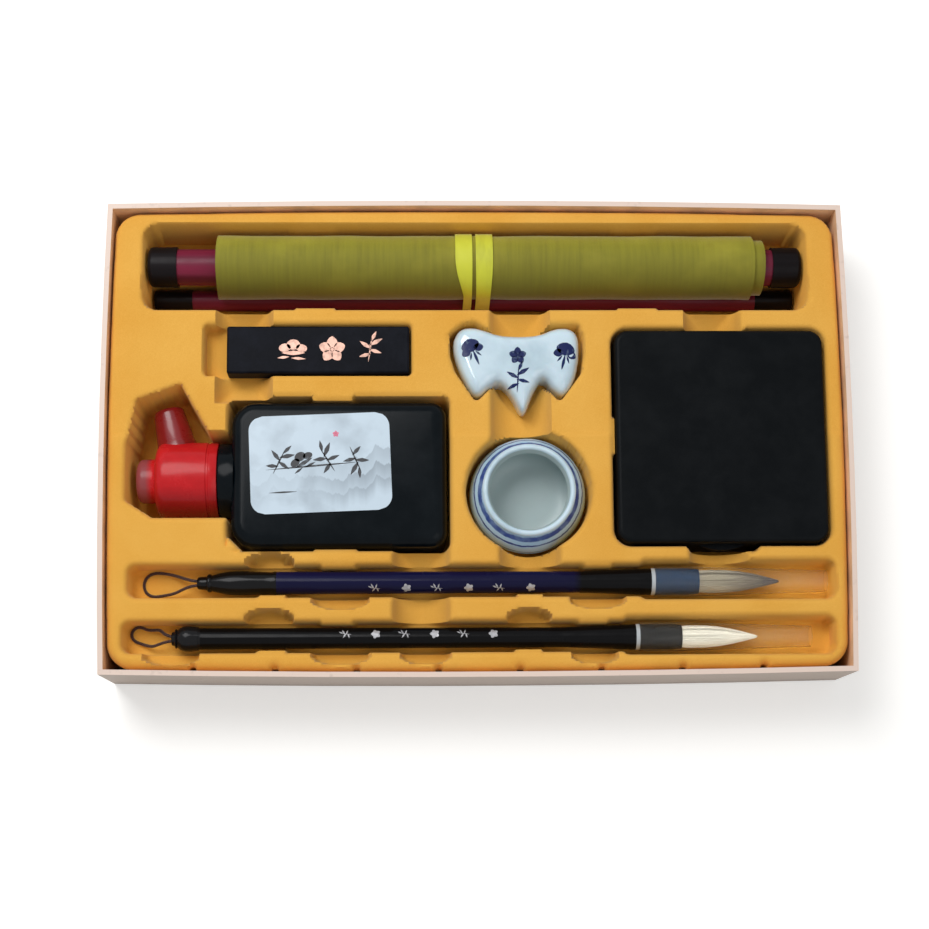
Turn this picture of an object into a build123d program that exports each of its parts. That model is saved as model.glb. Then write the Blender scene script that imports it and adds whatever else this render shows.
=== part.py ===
"""Calligraphy set box: an open card box with a formed insert tray that holds a rolled
hanging scroll, an ink stick, a brush rest, a water cup, an ink bottle, an inkstone in
its case and two brushes in clear sleeves.

Millimetres, +Z up, +X along the box's long side, +Y towards its rear.  The origin is at
the middle of the box's underside."""
import os
from math import cos, pi, radians, sin, tan

from build123d import *

os.makedirs("parts", exist_ok=True)

# ---------------------------------------------------------------- box
board_thickness = 2.0        # greyboard of the floor and the walls
paper_thickness = 0.25       # covering and lining paper
wall_bow = 2.0               # each wall bulges outward by this at its middle
tray_gap = 0.8               # insert tray to lined wall, each side
tray_drop = 3.0              # tray face below the box's rim

# ---------------------------------------------------------------- insert tray
sheet = 0.8                  # formed plastic sheet with its flocking
tray_corner = 12.0
end_land = 6.65              # tray face left beyond the longest row, at each end
side_land = 6.2              # tray face left beyond the first and last rows
foot_clearance = 3.95        # deepest pocket's outside above the box floor
flute_radius = 2.2           # half-round ribs pressed into the tray's skirt
flute_pitch = 39.4
flutes_long_side = 8
flutes_short_side = 5
tab_depth = 0.8              # retaining tabs that stand into a pocket
seat_gap = 0.3               # item to pocket floor

scroll_to_middle_land = 8.7
stick_to_bottle_land = 11.4
middle_to_brush_land = 6.3
brush_to_brush_land = 9.7
bottle_to_cup_land = 8.8
cup_to_inkstone_land = 11.8
rest_to_cup_land = 9.6
column_overhang = 1.9        # how far the rest and cup pockets reach into the lands

# ---------------------------------------------------------------- hanging scroll
roll_length = 268.0
roll_diameter = 32.4
inner_turns_diameter = 27.6
inner_turns_slip = 5.6       # the inner turns stand out of the right end
roller_diameter = 18.0
roller_length = 298.6
roller_cap_diameter = 20.0
roller_cap_length = 14.4
roll_shift = 4.8             # roll's middle to the right of the roller's middle
spigot_diameter = 10.0       # glued into the caps
spigot_length = 8.0
hanger_diameter = 10.6
hanger_length = 287.8
hanger_cap_diameter = 11.0
hanger_cap_length = 19.4
hanger_spigot_diameter = 4.0
hanger_spigot_length = 6.0
cap_round_share = 0.12       # cap's outer rounding as a share of its diameter
hanger_fall = 57.0           # degrees below level towards the front, seen from the roll's axis
hanger_groove_gap = 1.2      # rod's caps to the groove in the pocket's floor, each side
hanger_groove_corner = 3.0
ribbon_relief_gap = 1.5      # ribbons to their relief in the pocket's floor, along X
ribbon_relief_reach = 5.0    # relief behind the roll's axis
lap_gap = 0.05               # between turns of paper and what they lie on
glue_gap = 0.05
ribbon_width = 8.7
ribbon_thickness = 0.5
ribbon_left_offset = -6.2    # ribbon middles from the roller's middle
ribbon_right_offset = 4.0
scroll_end_gap = 0.9
scroll_rear_gap = 1.2
scroll_front_gap = 7.76
scroll_proud = 2.2           # roll stands this far above the tray face
scroll_pocket_corner = 7.0
scroll_tab_length = 20.5
scroll_tab_spread = 160.0    # between the tabs' middles

# ---------------------------------------------------------------- ink stick
stick_length = 89.8
stick_width = 23.9
stick_thickness = 11.0
stick_corner = 1.2
stick_gap = 0.5
stick_finger_room = 10.3     # free end of the pocket
stick_below = 0.5            # stick lies this far below the tray face
stick_pocket_corner = 1.6
stick_from_bottle = -10.3    # stick middle from the bottle body's middle

# ---------------------------------------------------------------- brush rest
rest_length = 63.4
rest_depth = 43.6            # from the rear edge to the middle peak
rest_thickness = 17.0
rest_edge = 2.0
rest_chamfer = 1.5           # round the upper and lower faces
rest_gap = 1.2
rest_proud = 2.0
# corners seen from above: (share of half the length, share of the depth from the rear edge)
rest_corners = [(-0.98, -0.12), (-0.80, -0.02), (-0.66, 0.0), (-0.42, -0.11), (0.40, -0.11),
                (0.54, -0.03), (0.94, -0.03), (1.0, -0.14), (1.0, -0.33), (0.96, -0.53),
                (0.67, -0.82), (0.40, -0.60), (0.08, -1.0), (-0.35, -0.62), (-0.62, -0.82),
                (-0.90, -0.52), (-0.97, -0.35)]
rest_from_cup = -5.4         # rest middle from the cup's axis

# ---------------------------------------------------------------- water cup
cup_belly_radius = 28.8
cup_foot_radius = 19.0
cup_neck_radius = 22.0
cup_lip_radius = 23.0
cup_mouth_radius = 20.2
cup_height = 32.0
cup_wall = 3.0
cup_foot_height = 1.6
cup_belly_share = 0.45       # belly height as a share of the cup's height
cup_shoulder_share = 0.86
cup_gap = 1.4
cup_proud = 2.0

# ---------------------------------------------------------------- ink bottle
bottle_length = 105.0
bottle_width = 72.4
bottle_thickness = 39.0
bottle_edge = 6.0            # rounding round the upper and lower faces
bottle_shoulder = 12.0       # shoulders, seen from above
bottle_base_corner = 7.5     # corners of the base, seen from above
bottle_wall = 1.6
collar_diameter = 37.8
collar_length = 6.8
neck_diameter = 30.0
neck_length = 14.0
neck_bore_diameter = 24.0
plug_length = 5.0
bottle_gap = 1.3
bottle_rear_gap = 2.4
bottle_proud = 1.0
bottle_pocket_corner = 4.0
bottle_tab_depth = 1.9
bottle_tab_length = 21.5
bottle_tab_from_middle = -3.0
label_length = 68.6
label_height = 48.6
label_thickness = 0.2
label_corner = 7.0
label_tilt = 2.2             # degrees
label_from_middle = -8.9     # label middle from the body's middle
label_rise = 5.0
cap_diameter = 38.6
cap_length = 30.6
cap_edge = 5.0
cap_wall = 2.2
cap_clearance = 0.3          # cap to collar face and neck
knob_diameter = 22.0
knob_length = 9.8
knob_edge = 3.5
spout_base_diameter = 20.5
spout_end_diameter = 15.0
spout_reach = 37.0           # cap axis to the spout's end
spout_lean = 14.0            # degrees from the cap's radius, towards the knob
spout_from_cap_end = 13.5    # spout axis on the cap's side, from the knob end
spout_edge = 1.5
spout_root = 9.65            # cap axis to the spout's hidden start
recess_gap = 3.0             # cap to its recess
recess_spout_gap = 4.5

# ---------------------------------------------------------------- inkstone
case_length = 103.5
case_width = 106.6
case_corner = 7.0
case_wall = 2.2
case_base_height = 19.0
case_lid_height = 11.6
case_edge = 2.4
case_foot_chamfer = 1.2
case_parting = 0.1           # lid above base
lip_height = 2.5
lip_clearance = 0.3
lip_thickness = 1.2
lug_length = 30.0            # thumb lug on the front edge
lug_reach = 2.6
lug_height = 3.0
lug_bay_corner_share = 0.9   # of the lug's reach
slab_gap = 0.4
slab_thickness = 13.0
well_diameter = 82.0
well_depth = 4.6
pool_diameter = 34.0
pool_extra_depth = 3.0
pool_from_middle = 20.0
inkstone_gap_x = 1.0
inkstone_gap_y = 1.0
inkstone_proud = 1.2
inkstone_pocket_corner = 8.0

# ---------------------------------------------------------------- brushes
brush_below = 0.5            # thickest part of a brush below the tray face
brush_side_gap = 1.6
brush_pocket_corner = 4.0
sleeve_wall = 0.4
sleeve_gap = 0.3             # sleeve to ferrule
ring_length = 1.8
cord_diameter = 1.5
cord_hole_diameter = 4.2
cord_hole_depth = 4.0
bend_share = 0.45            # arc radius from the shorter run beside a bend
flare_length = 36.0          # shaft widens over this length towards its ring
flare_waist_scale = 0.94     # narrowest part of the shaft, where the flare starts
ferrule_lip = 0.4            # ferrule wall where the hair leaves it
ferrule_straight_share = 0.75
tail_neck_share = 0.12       # the tail's neck, as a share of its length
tail_neck_scale = 1.15       # neck to the tail's end
tail_wide_from = 0.4         # the tail is widest between these shares of its length
tail_wide_to = 0.7
strand_pitch = 0.7           # strand grid
strand_width = 0.6
hair_backing = 1.0
hair_tip_scale = 0.11
# (share of the hair's length, how far a strand stands from the brush's axis there)
hair_stations = ((0.0, 1.0), (0.3, 1.04), (0.62, 0.8), (0.85, 0.43), (1.0, hair_tip_scale))
# loop routes from the bottom of the tail's cord hole; the loops lie down on their pocket floors
large_loop = [(0, 0.9, 0), (-5.2, 0.9, 0), (-10.4, 2.4, -1.0), (-15.4, 4.3, -2.7), (-20.7, 5.6, -4.6),
              (-26.1, 6.0, -6.0), (-29.8, 4.0, -6.6), (-31.2, 0.0, -6.6), (-29.8, -4.0, -6.6),
              (-26.1, -6.0, -5.9), (-20.5, -5.4, -4.5), (-15.1, -4.6, -2.7), (-10.1, -2.2, -1.0),
              (-5.0, -0.9, 0), (0, -0.9, 0)]
small_loop = [(0, 0.9, 0), (-3.8, 0.9, 0), (-7.6, 2.3, -1.2), (-11.4, 4.2, -2.9), (-15.8, 3.9, -4.5),
              (-19.8, 5.2, -5.6), (-23.4, 6.3, -6.2), (-25.4, 4.4, -6.4), (-24.0, 1.4, -6.3),
              (-20.6, -0.8, -5.7), (-17.4, -3.0, -4.6), (-13.6, -3.3, -3.2), (-9.4, -2.0, -1.5),
              (-4.7, -0.9, 0), (0, -0.9, 0)]

# ---------------------------------------------------------------- finger room
notch_depth = 12.6
notch_reach = 4.4            # finger notch beyond the pocket's edge
# finger notches along each edge of the brushes' pockets: (x, half length)
large_rear_notches = [(-101.1, 11.2)]
large_front_notches = [(-67.1, 13.5), (57.7, 13.4)]
small_rear_notches = [(-101.4, 11.6), (24.1, 10.4)]
small_front_notches = [(-148.2, 13.2), (-66.9, 13.7), (-25.9, 11.8), (55.8, 10.9)]
# half-round troughs along Y: (x, radius)
scroll_to_bottle_trough = (-114.8, 13.8)
scroll_to_cup_trough = (21.2, 14.7)
scroll_to_large_trough = (117.0, 14.2)
bottle_to_small_trough = (-28.0, 13.8)
cup_to_large_trough = (25.0, 14.8)
trough_overlap = 3.0         # finger troughs reach this far into the pockets they join


class BrushSizes:
    """One brush: its lengths from the tail to the sleeve's end, and its radii."""

    def __init__(self, name, tail, shaft, ferrule, hair, sleeve_beyond, radii, loop_room, end_gap):
        self.name = name
        self.tail = tail
        self.shaft = shaft
        self.ferrule = ferrule
        self.hair = hair
        self.sleeve_beyond = sleeve_beyond
        self.tail_end_radius, self.tail_radius, self.shaft_radius = radii[:3]
        self.ferrule_radius, self.hair_radius, self.sleeve_end_radius = radii[3:]
        self.loop_room = loop_room
        self.end_gap = end_gap

    def sleeve_radius(self):
        return self.ferrule_radius + sleeve_gap + sleeve_wall

    def length(self):
        return self.tail + self.shaft + ring_length + self.ferrule + self.hair + self.sleeve_beyond

    def pocket_length(self):
        return self.loop_room + self.length() + self.end_gap

    def pocket_width(self):
        return 2 * (self.sleeve_radius() + brush_side_gap)

    def depth(self):
        return 2 * self.sleeve_radius() + brush_below


large = BrushSizes("large_brush", 38.5, 182.3, 21.5, 40.1, 22.8,
                   (3.0, 5.9, 5.6, 6.6, 5.6, 5.3), 32.4, 3.0)
small = BrushSizes("small_brush", 14.0, 210.7, 20.5, 37.6, 25.7,
                   (2.8, 6.3, 5.2, 6.3, 5.4, 5.2), 22.0, 10.2)
large_row_shift = 2.1        # pocket middles from the box's middle
small_row_shift = 0.6

# ---------------------------------------------------------------- places worked out from the sizes
roller_total = roller_length + 2 * roller_cap_length
scroll_pocket_length = roller_total + 2 * scroll_end_gap
hanger_distance = roll_diameter / 2 + lap_gap + hanger_diameter / 2
hanger_forward = hanger_distance * cos(radians(hanger_fall))
hanger_drop = hanger_distance * sin(radians(hanger_fall))
scroll_pocket_width = (scroll_rear_gap + roll_diameter / 2 + hanger_forward + hanger_diameter / 2
                       + ribbon_thickness + scroll_front_gap)
stick_pocket_length = stick_finger_room + stick_length + 2 * stick_gap
stick_pocket_width = stick_width + 2 * stick_gap
bottle_pocket_length = bottle_length + 2 * bottle_gap
bottle_pocket_width = bottle_width + bottle_rear_gap + bottle_gap
cap_total = collar_length + cap_clearance + cap_length + knob_length
recess_length = cap_total + recess_gap
cup_pocket_radius = cup_belly_radius + cup_gap
case_pocket_length = case_length + 2 * inkstone_gap_x
case_pocket_width = case_width + 2 * inkstone_gap_y
rest_column = rest_depth + rest_gap + rest_to_cup_land + 2 * cup_pocket_radius

middle_block = max(stick_pocket_width + stick_to_bottle_land + bottle_pocket_width,
                   case_pocket_width, rest_column - 2 * column_overhang)
middle_row = (recess_length + bottle_pocket_length + bottle_to_cup_land + 2 * cup_pocket_radius
              + cup_to_inkstone_land + case_pocket_length)
rows = (scroll_pocket_width + scroll_to_middle_land + middle_block + middle_to_brush_land
        + large.pocket_width() + brush_to_brush_land + small.pocket_width())
tray_length = max(scroll_pocket_length, middle_row, large.pocket_length(),
                  small.pocket_length()) + 2 * end_land
tray_width = rows + 2 * side_land
wall_thickness = board_thickness + 2 * paper_thickness
box_length = tray_length + 2 * (tray_gap + wall_thickness)
box_width = tray_width + 2 * (tray_gap + wall_thickness)

scroll_depth = roll_diameter + lap_gap + ribbon_thickness - scroll_proud
hanger_depth = (roll_diameter / 2 - scroll_proud + hanger_drop + hanger_diameter / 2
                + lap_gap + ribbon_thickness)
stick_depth = stick_thickness + stick_below
rest_pocket_depth = rest_thickness - rest_proud
cup_depth = cup_height - cup_proud
bottle_depth = bottle_thickness - bottle_proud
case_height = case_base_height + case_parting + case_lid_height
case_depth = case_height - inkstone_proud
deepest = max(scroll_depth, hanger_depth, stick_depth, rest_pocket_depth, cup_depth, bottle_depth,
              case_depth, large.depth(), small.depth()) + seat_gap
floor_top = paper_thickness + board_thickness
tray_top = floor_top + foot_clearance + sheet + deepest
box_height = tray_top + tray_drop

rows_rear = rows / 2
scroll_pocket_y = rows_rear - scroll_pocket_width / 2
scroll_front_y = rows_rear - scroll_pocket_width
block_rear_y = scroll_front_y - scroll_to_middle_land
block_front_y = block_rear_y - middle_block
block_y = (block_rear_y + block_front_y) / 2
large_y = block_front_y - middle_to_brush_land - large.pocket_width() / 2
large_front_y = large_y - large.pocket_width() / 2
small_y = large_front_y - brush_to_brush_land - small.pocket_width() / 2

roll_y = rows_rear - scroll_rear_gap - roll_diameter / 2
roll_z = tray_top + scroll_proud - roll_diameter / 2
hanger_y = roll_y - hanger_forward
hanger_z = roll_z - hanger_drop

row_left = -middle_row / 2
bottle_left = row_left + recess_length + bottle_gap
bottle_x = bottle_left + bottle_length / 2
bottle_y = block_front_y + bottle_gap + bottle_width / 2
bottle_z = tray_top + bottle_proud - bottle_thickness / 2
cup_x = bottle_left + bottle_length + bottle_gap + bottle_to_cup_land + cup_pocket_radius
cup_y = block_y - rest_column / 2 + cup_pocket_radius
cup_z = tray_top + cup_proud - cup_height
case_x = middle_row / 2 - case_pocket_length / 2
case_z = tray_top + inkstone_proud - case_height
stick_x = bottle_x + stick_from_bottle
stick_y = block_rear_y - stick_pocket_width / 2
stick_z = tray_top - stick_below - stick_thickness
rest_x = cup_x + rest_from_cup
rest_y = block_y + rest_column / 2 - rest_gap
rest_z = tray_top + rest_proud - rest_thickness


def save(piece, label):
    piece.part.label = label
    export_step(piece.part, f"parts/{label}.step")


# ================================================================ box
def box_outline(height, inset):
    """The box seen from above, drawn inset from its outer face, ready to extrude."""
    with BuildSketch(Plane.XY.offset(height)) as outline:
        with BuildLine():
            half_length = box_length / 2
            half_width = box_width / 2
            corners = [(-half_length, -half_width), (half_length, -half_width),
                       (half_length, half_width), (-half_length, half_width)]
            middles = [(0, -half_width - wall_bow), (half_length + wall_bow, 0),
                       (0, half_width + wall_bow), (-half_length - wall_bow, 0)]
            for side in range(4):
                ThreePointArc(corners[side], middles[side], corners[(side + 1) % 4])
        make_face()
        if inset:
            offset(amount=-inset, kind=Kind.INTERSECTION, mode=Mode.REPLACE)
    return outline.sketch


board_inset = paper_thickness
lining_inset = board_inset + board_thickness
wall_bottom = floor_top
wall_height = box_height - paper_thickness - wall_bottom

with BuildPart() as base_sheet:
    extrude(box_outline(0, 0), amount=paper_thickness)
save(base_sheet, "base_sheet")

with BuildPart() as floor_board:
    extrude(box_outline(paper_thickness, board_inset), amount=board_thickness)
save(floor_board, "floor_board")


def wall(label, center_x, center_y, size_x, size_y):
    """One wall panel: the part of the wall ring that a block around it keeps."""
    with BuildPart() as panel:
        extrude(box_outline(wall_bottom, board_inset), amount=wall_height)
        extrude(box_outline(wall_bottom, lining_inset), amount=wall_height, mode=Mode.SUBTRACT)
        with BuildSketch(Plane.XY.offset(wall_bottom)):
            with Locations((center_x, center_y)):
                Rectangle(size_x, size_y)
        extrude(amount=wall_height, mode=Mode.INTERSECT)
    save(panel, label)


panel_depth = board_thickness + 2 * wall_bow
side_span = box_width - 2 * lining_inset
panel_y = side_span / 2 + panel_depth / 2
panel_x = box_length / 2 - lining_inset + panel_depth / 2
wall("front_wall", 0, -panel_y, box_length, panel_depth)
wall("rear_wall", 0, panel_y, box_length, panel_depth)
wall("left_wall", -panel_x, 0, panel_depth, side_span)
wall("right_wall", panel_x, 0, panel_depth, side_span)

with BuildPart() as box_wrap:
    extrude(box_outline(paper_thickness, 0), amount=box_height - paper_thickness)
    extrude(box_outline(paper_thickness, board_inset), amount=box_height - 2 * paper_thickness,
            mode=Mode.SUBTRACT)
    extrude(box_outline(box_height - paper_thickness, wall_thickness), amount=paper_thickness,
            mode=Mode.SUBTRACT)
save(box_wrap, "box_wrap")

with BuildPart() as box_lining:
    extrude(box_outline(wall_bottom, lining_inset), amount=wall_height)
    extrude(box_outline(wall_bottom, wall_thickness), amount=wall_height, mode=Mode.SUBTRACT)
save(box_lining, "box_lining")


# ================================================================ brush rest outline
def rest_outline(height, growth):
    """Three rounded peaks that point to the front, from the rear edge at rest_y."""
    across = rest_length / 2
    corners = [(rest_x + across * x, rest_y + rest_depth * y) for x, y in rest_corners]
    with BuildSketch(Plane.XY.offset(height)) as outline:
        with BuildLine():
            Polyline(*corners, close=True)
        make_face()
        fillet(outline.vertices(), rest_edge)
        if growth:
            offset(amount=growth, mode=Mode.REPLACE)
    return outline.sketch


# ================================================================ insert tray
def tray_outline(height, inset):
    """The tray seen from above, drawn inset from its own outer face."""
    with BuildSketch(Plane.XY.offset(height)) as outline:
        add(box_outline(0, wall_thickness + tray_gap + inset))
        fillet(outline.vertices(), tray_corner - inset)
    return outline.sketch


def sink(depth, growth, draw, mode):
    """One pocket form: its outline, grown for the sheet's outside, from floor to face."""
    bottom = tray_top - depth - growth
    top = tray_top - growth
    with BuildSketch(Plane.XY.offset(bottom)) as outline:
        draw()
        if growth:
            offset(amount=growth, kind=Kind.INTERSECTION, mode=Mode.REPLACE)
    extrude(outline.sketch, amount=top - bottom, mode=mode)


def rounded(x, y, length, width, corner):
    with Locations((x, y)):
        RectangleRounded(length, width, corner)


def tab(x, y, length, depth):
    with Locations((x, y)):
        Rectangle(length, 2 * depth, mode=Mode.SUBTRACT)


def draw_scroll_pocket():
    rounded(0, scroll_pocket_y, scroll_pocket_length, scroll_pocket_width, scroll_pocket_corner)
    for side in (-1, 1):
        tab(side * scroll_tab_spread / 2, rows_rear, scroll_tab_length, tab_depth)
        tab(side * scroll_tab_spread / 2, scroll_front_y, scroll_tab_length, tab_depth)


def draw_hanger_groove():
    width = hanger_cap_diameter + 2 * hanger_groove_gap
    rounded(0, hanger_y, scroll_pocket_length, width, hanger_groove_corner)


def draw_ribbon_relief():
    """Room under the roll for the ribbons on their way to the hanger rod."""
    left = ribbon_left_offset - ribbon_width / 2 - ribbon_relief_gap
    right = ribbon_right_offset + ribbon_width / 2 + ribbon_relief_gap
    rear = roll_y + ribbon_relief_reach
    rounded((left + right) / 2, (rear + hanger_y) / 2, right - left, rear - hanger_y, hanger_groove_corner)


def draw_stick_pocket():
    middle = stick_x - stick_finger_room / 2
    rounded(middle, stick_y, stick_pocket_length, stick_pocket_width, stick_pocket_corner)


def draw_rest_pocket():
    add(rest_outline(0, rest_gap))


def draw_cup_pocket():
    with Locations((cup_x, cup_y)):
        Circle(cup_pocket_radius)


def draw_bottle_pocket():
    rear = bottle_y + bottle_width / 2 + bottle_rear_gap
    middle_y = (rear + block_front_y) / 2
    rounded(bottle_x, middle_y, bottle_pocket_length, bottle_pocket_width, bottle_pocket_corner)
    tab(bottle_x + bottle_tab_from_middle, rear, bottle_tab_length, bottle_tab_depth)


cap_right = bottle_left - collar_length - cap_clearance
cap_left = cap_right - cap_length
spout_x = cap_left + spout_from_cap_end
spout_end_x = spout_x - spout_reach * tan(radians(spout_lean))


def draw_cap_recess():
    """Room for the collar, cap, knob and the side spout that lies towards the rear."""
    cap_side = cap_diameter / 2 + recess_gap / 2
    knob_left = cap_left - knob_length - recess_gap
    spout_half = spout_base_diameter / 2 + recess_spout_gap / 2
    spout_rear = bottle_y + spout_reach + recess_spout_gap
    with BuildLine() as recess:
        Polyline((bottle_left, bottle_y - cap_side), (cap_left, bottle_y - cap_side),
                 (knob_left, bottle_y - knob_diameter / 2 - recess_gap / 2),
                 (knob_left, bottle_y + knob_diameter / 2 + recess_gap),
                 (spout_end_x - spout_half, spout_rear - recess_spout_gap),
                 (spout_end_x + spout_half - recess_spout_gap, spout_rear + recess_gap),
                 (spout_x + spout_half, bottle_y + cap_side),
                 (bottle_left, bottle_y + cap_side), close=True)
    make_face(recess.edges())


def draw_case_pocket():
    rounded(case_x, block_y, case_pocket_length, case_pocket_width, inkstone_pocket_corner)
    with Locations((case_x, block_y - case_pocket_width / 2)):
        RectangleRounded(lug_length + 2 * inkstone_gap_x, 2 * lug_reach,
                         lug_reach * lug_bay_corner_share)


def draw_large_pocket():
    rounded(large_row_shift, large_y, large.pocket_length(), large.pocket_width(), brush_pocket_corner)


def draw_small_pocket():
    rounded(small_row_shift, small_y, small.pocket_length(), small.pocket_width(), brush_pocket_corner)


large_rear_y = large_y + large.pocket_width() / 2
small_rear_y = small_y + small.pocket_width() / 2
small_front_y = small_y - small.pocket_width() / 2
notches = [(large_rear_y, large_rear_notches), (large_front_y, large_front_notches),
           (small_rear_y, small_rear_notches), (small_front_y, small_front_notches)]


def finger_notches(growth, mode):
    with BuildSketch(Plane.XY.offset(tray_top - notch_depth - growth)) as outline:
        for edge, row in notches:
            for x, half in row:
                with Locations((x, edge)):
                    Ellipse(half + growth, notch_reach + growth)
    extrude(outline.sketch, amount=notch_depth, mode=mode)


pockets = [(scroll_depth + seat_gap, draw_scroll_pocket), (hanger_depth + seat_gap, draw_hanger_groove),
           (hanger_depth + seat_gap, draw_ribbon_relief), (stick_depth + seat_gap, draw_stick_pocket),
           (rest_pocket_depth + seat_gap, draw_rest_pocket), (cup_depth + seat_gap, draw_cup_pocket),
           (bottle_depth + seat_gap, draw_bottle_pocket), (bottle_depth + seat_gap, draw_cap_recess),
           (case_depth + seat_gap, draw_case_pocket), (large.depth() + seat_gap, draw_large_pocket),
           (small.depth() + seat_gap, draw_small_pocket)]

# half-round finger troughs between pockets: (place, rear end, front end)
troughs = [(scroll_to_bottle_trough, scroll_front_y, block_front_y + bottle_pocket_width),
           (scroll_to_cup_trough, scroll_front_y, cup_y), (scroll_to_large_trough, scroll_front_y, large_y),
           (bottle_to_small_trough, block_front_y, small_y), (cup_to_large_trough, cup_y, large_y)]


def trough(place, rear, front, growth, mode):
    """A half-round form that reaches a little way into the pockets at its ends."""
    x, radius = place
    start = rear + trough_overlap + growth
    with BuildSketch(Plane(origin=(x, start, tray_top), x_dir=(1, 0, 0), z_dir=(0, -1, 0))) as outline:
        Circle(radius + growth)
        with Locations((0, radius + 2 * growth)):
            Rectangle(2 * radius + 4 * growth, 2 * (radius + 3 * growth), mode=Mode.SUBTRACT)
    extrude(outline.sketch, amount=start - front + trough_overlap + growth, mode=mode)


def edge_bulge(along, side):
    """How far the tray's edge stands out at a place along a bowed side."""
    return wall_bow * (1 - (2 * along / side) ** 2)


def flute_places():
    places = []
    for i in range(flutes_long_side):
        x = (i - (flutes_long_side - 1) / 2) * flute_pitch
        y = tray_width / 2 + edge_bulge(x, box_length)
        places += [(x, y), (x, -y)]
    for i in range(flutes_short_side):
        y = (i - (flutes_short_side - 1) / 2) * flute_pitch
        x = tray_length / 2 + edge_bulge(y, box_width)
        places += [(x, y), (-x, y)]
    return places


def flutes(bottom, height, radius, mode):
    with BuildSketch(Plane.XY.offset(bottom)) as outline:
        with Locations(*flute_places()):
            Circle(radius)
        add(tray_outline(0, 0), mode=Mode.INTERSECT)
    extrude(outline.sketch, amount=height, mode=mode)


with BuildPart() as insert_tray:
    extrude(tray_outline(floor_top, 0), amount=tray_top - floor_top)
    extrude(tray_outline(floor_top, sheet), amount=tray_top - sheet - floor_top, mode=Mode.SUBTRACT)
    flutes(floor_top, tray_top - floor_top, flute_radius + sheet, Mode.ADD)
    for depth, draw in pockets:
        sink(depth, sheet, draw, Mode.ADD)
    finger_notches(sheet, Mode.ADD)
    for place, rear, front in troughs:
        trough(place, rear, front, sheet, Mode.ADD)
    flutes(floor_top, tray_top - floor_top, flute_radius, Mode.SUBTRACT)
    for depth, draw in pockets:
        sink(depth, 0, draw, Mode.SUBTRACT)
    finger_notches(0, Mode.SUBTRACT)
    for place, rear, front in troughs:
        trough(place, rear, front, 0, Mode.SUBTRACT)
save(insert_tray, "insert_tray")


# ================================================================ hanging scroll
def along_x(x, y, z, radius, length, mode=Mode.ADD):
    """A round bar whose middle axis runs from x towards +X."""
    with BuildSketch(Plane(origin=(x, y, z), x_dir=(0, 1, 0), z_dir=(1, 0, 0))) as circle:
        Circle(radius)
    extrude(circle.sketch, amount=length, mode=mode)


roll_left = roll_shift - roll_length / 2
roll_right = roll_left + roll_length
roller_left = -roller_length / 2
roller_bore_radius = roller_diameter / 2 + lap_gap

with BuildPart() as scroll_sheet:
    along_x(roll_left, roll_y, roll_z, roll_diameter / 2, roll_length)
    along_x(roll_right, roll_y, roll_z, inner_turns_diameter / 2, inner_turns_slip)
    along_x(roll_left, roll_y, roll_z, roller_bore_radius, roll_length + inner_turns_slip, Mode.SUBTRACT)
save(scroll_sheet, "scroll_sheet")


def rod(label, y, z, diameter, length, spigot, spigot_reach):
    """A stave with a glued spigot at each end."""
    with BuildPart() as stave:
        along_x(-length / 2, y, z, diameter / 2, length)
        along_x(-length / 2 - spigot_reach, y, z, spigot / 2, length + 2 * spigot_reach)
    save(stave, label)


def rod_cap(label, side, y, z, diameter, length, rod_length, spigot, spigot_reach):
    """A turned cap that butts against the stave and takes its spigot."""
    inner_end = side * rod_length / 2
    low = min(inner_end, inner_end + side * length)
    bore_reach = spigot_reach + glue_gap
    bore_low = min(inner_end, inner_end + side * bore_reach)
    with BuildPart() as cap:
        along_x(low, y, z, diameter / 2, length)
        outer_face = cap.faces().sort_by(Axis.X)[-1 if side > 0 else 0]
        fillet(outer_face.edges(), diameter * cap_round_share)
        along_x(bore_low, y, z, spigot / 2 + glue_gap, bore_reach, Mode.SUBTRACT)
    save(cap, label)


rod("roller_rod", roll_y, roll_z, roller_diameter, roller_length, spigot_diameter, spigot_length)
rod("hanger_rod", hanger_y, hanger_z, hanger_diameter, hanger_length,
    hanger_spigot_diameter, hanger_spigot_length)
for side, word in ((-1, "left"), (1, "right")):
    rod_cap(f"roller_cap_{word}", side, roll_y, roll_z, roller_cap_diameter, roller_cap_length,
            roller_length, spigot_diameter, spigot_length)
    rod_cap(f"hanger_cap_{word}", side, hanger_y, hanger_z, hanger_cap_diameter, hanger_cap_length,
            hanger_length, hanger_spigot_diameter, hanger_spigot_length)


def belt(growth):
    """The closed line that a ribbon takes round the roll and the hanger rod."""
    with BuildSketch(Plane.YZ.offset(-ribbon_width / 2)) as outline:
        with Locations((roll_y, roll_z)):
            Circle(roll_diameter / 2 + growth)
        with Locations((hanger_y, hanger_z)):
            Circle(hanger_diameter / 2 + growth)
        make_hull()
    return outline.sketch


for word, middle in (("left", ribbon_left_offset), ("right", ribbon_right_offset)):
    with BuildPart() as ribbon:
        extrude(belt(lap_gap + ribbon_thickness), amount=ribbon_width)
        extrude(belt(lap_gap), amount=ribbon_width, mode=Mode.SUBTRACT)
    ribbon.part.position += (middle, 0, 0)
    save(ribbon, f"ribbon_{word}")

# ================================================================ ink stick
with BuildPart() as ink_stick:
    with BuildSketch(Plane.XY.offset(stick_z)) as block:
        with Locations((stick_x, stick_y)):
            Rectangle(stick_length, stick_width)
    extrude(amount=stick_thickness)
    fillet(ink_stick.edges(), stick_corner)
save(ink_stick, "ink_stick")

# ================================================================ brush rest
with BuildPart() as brush_rest:
    extrude(rest_outline(rest_z, 0), amount=rest_thickness)
    level_faces = brush_rest.faces().sort_by(Axis.Z)
    chamfer(level_faces[0].edges() + level_faces[-1].edges(), rest_chamfer)
save(brush_rest, "brush_rest")

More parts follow.
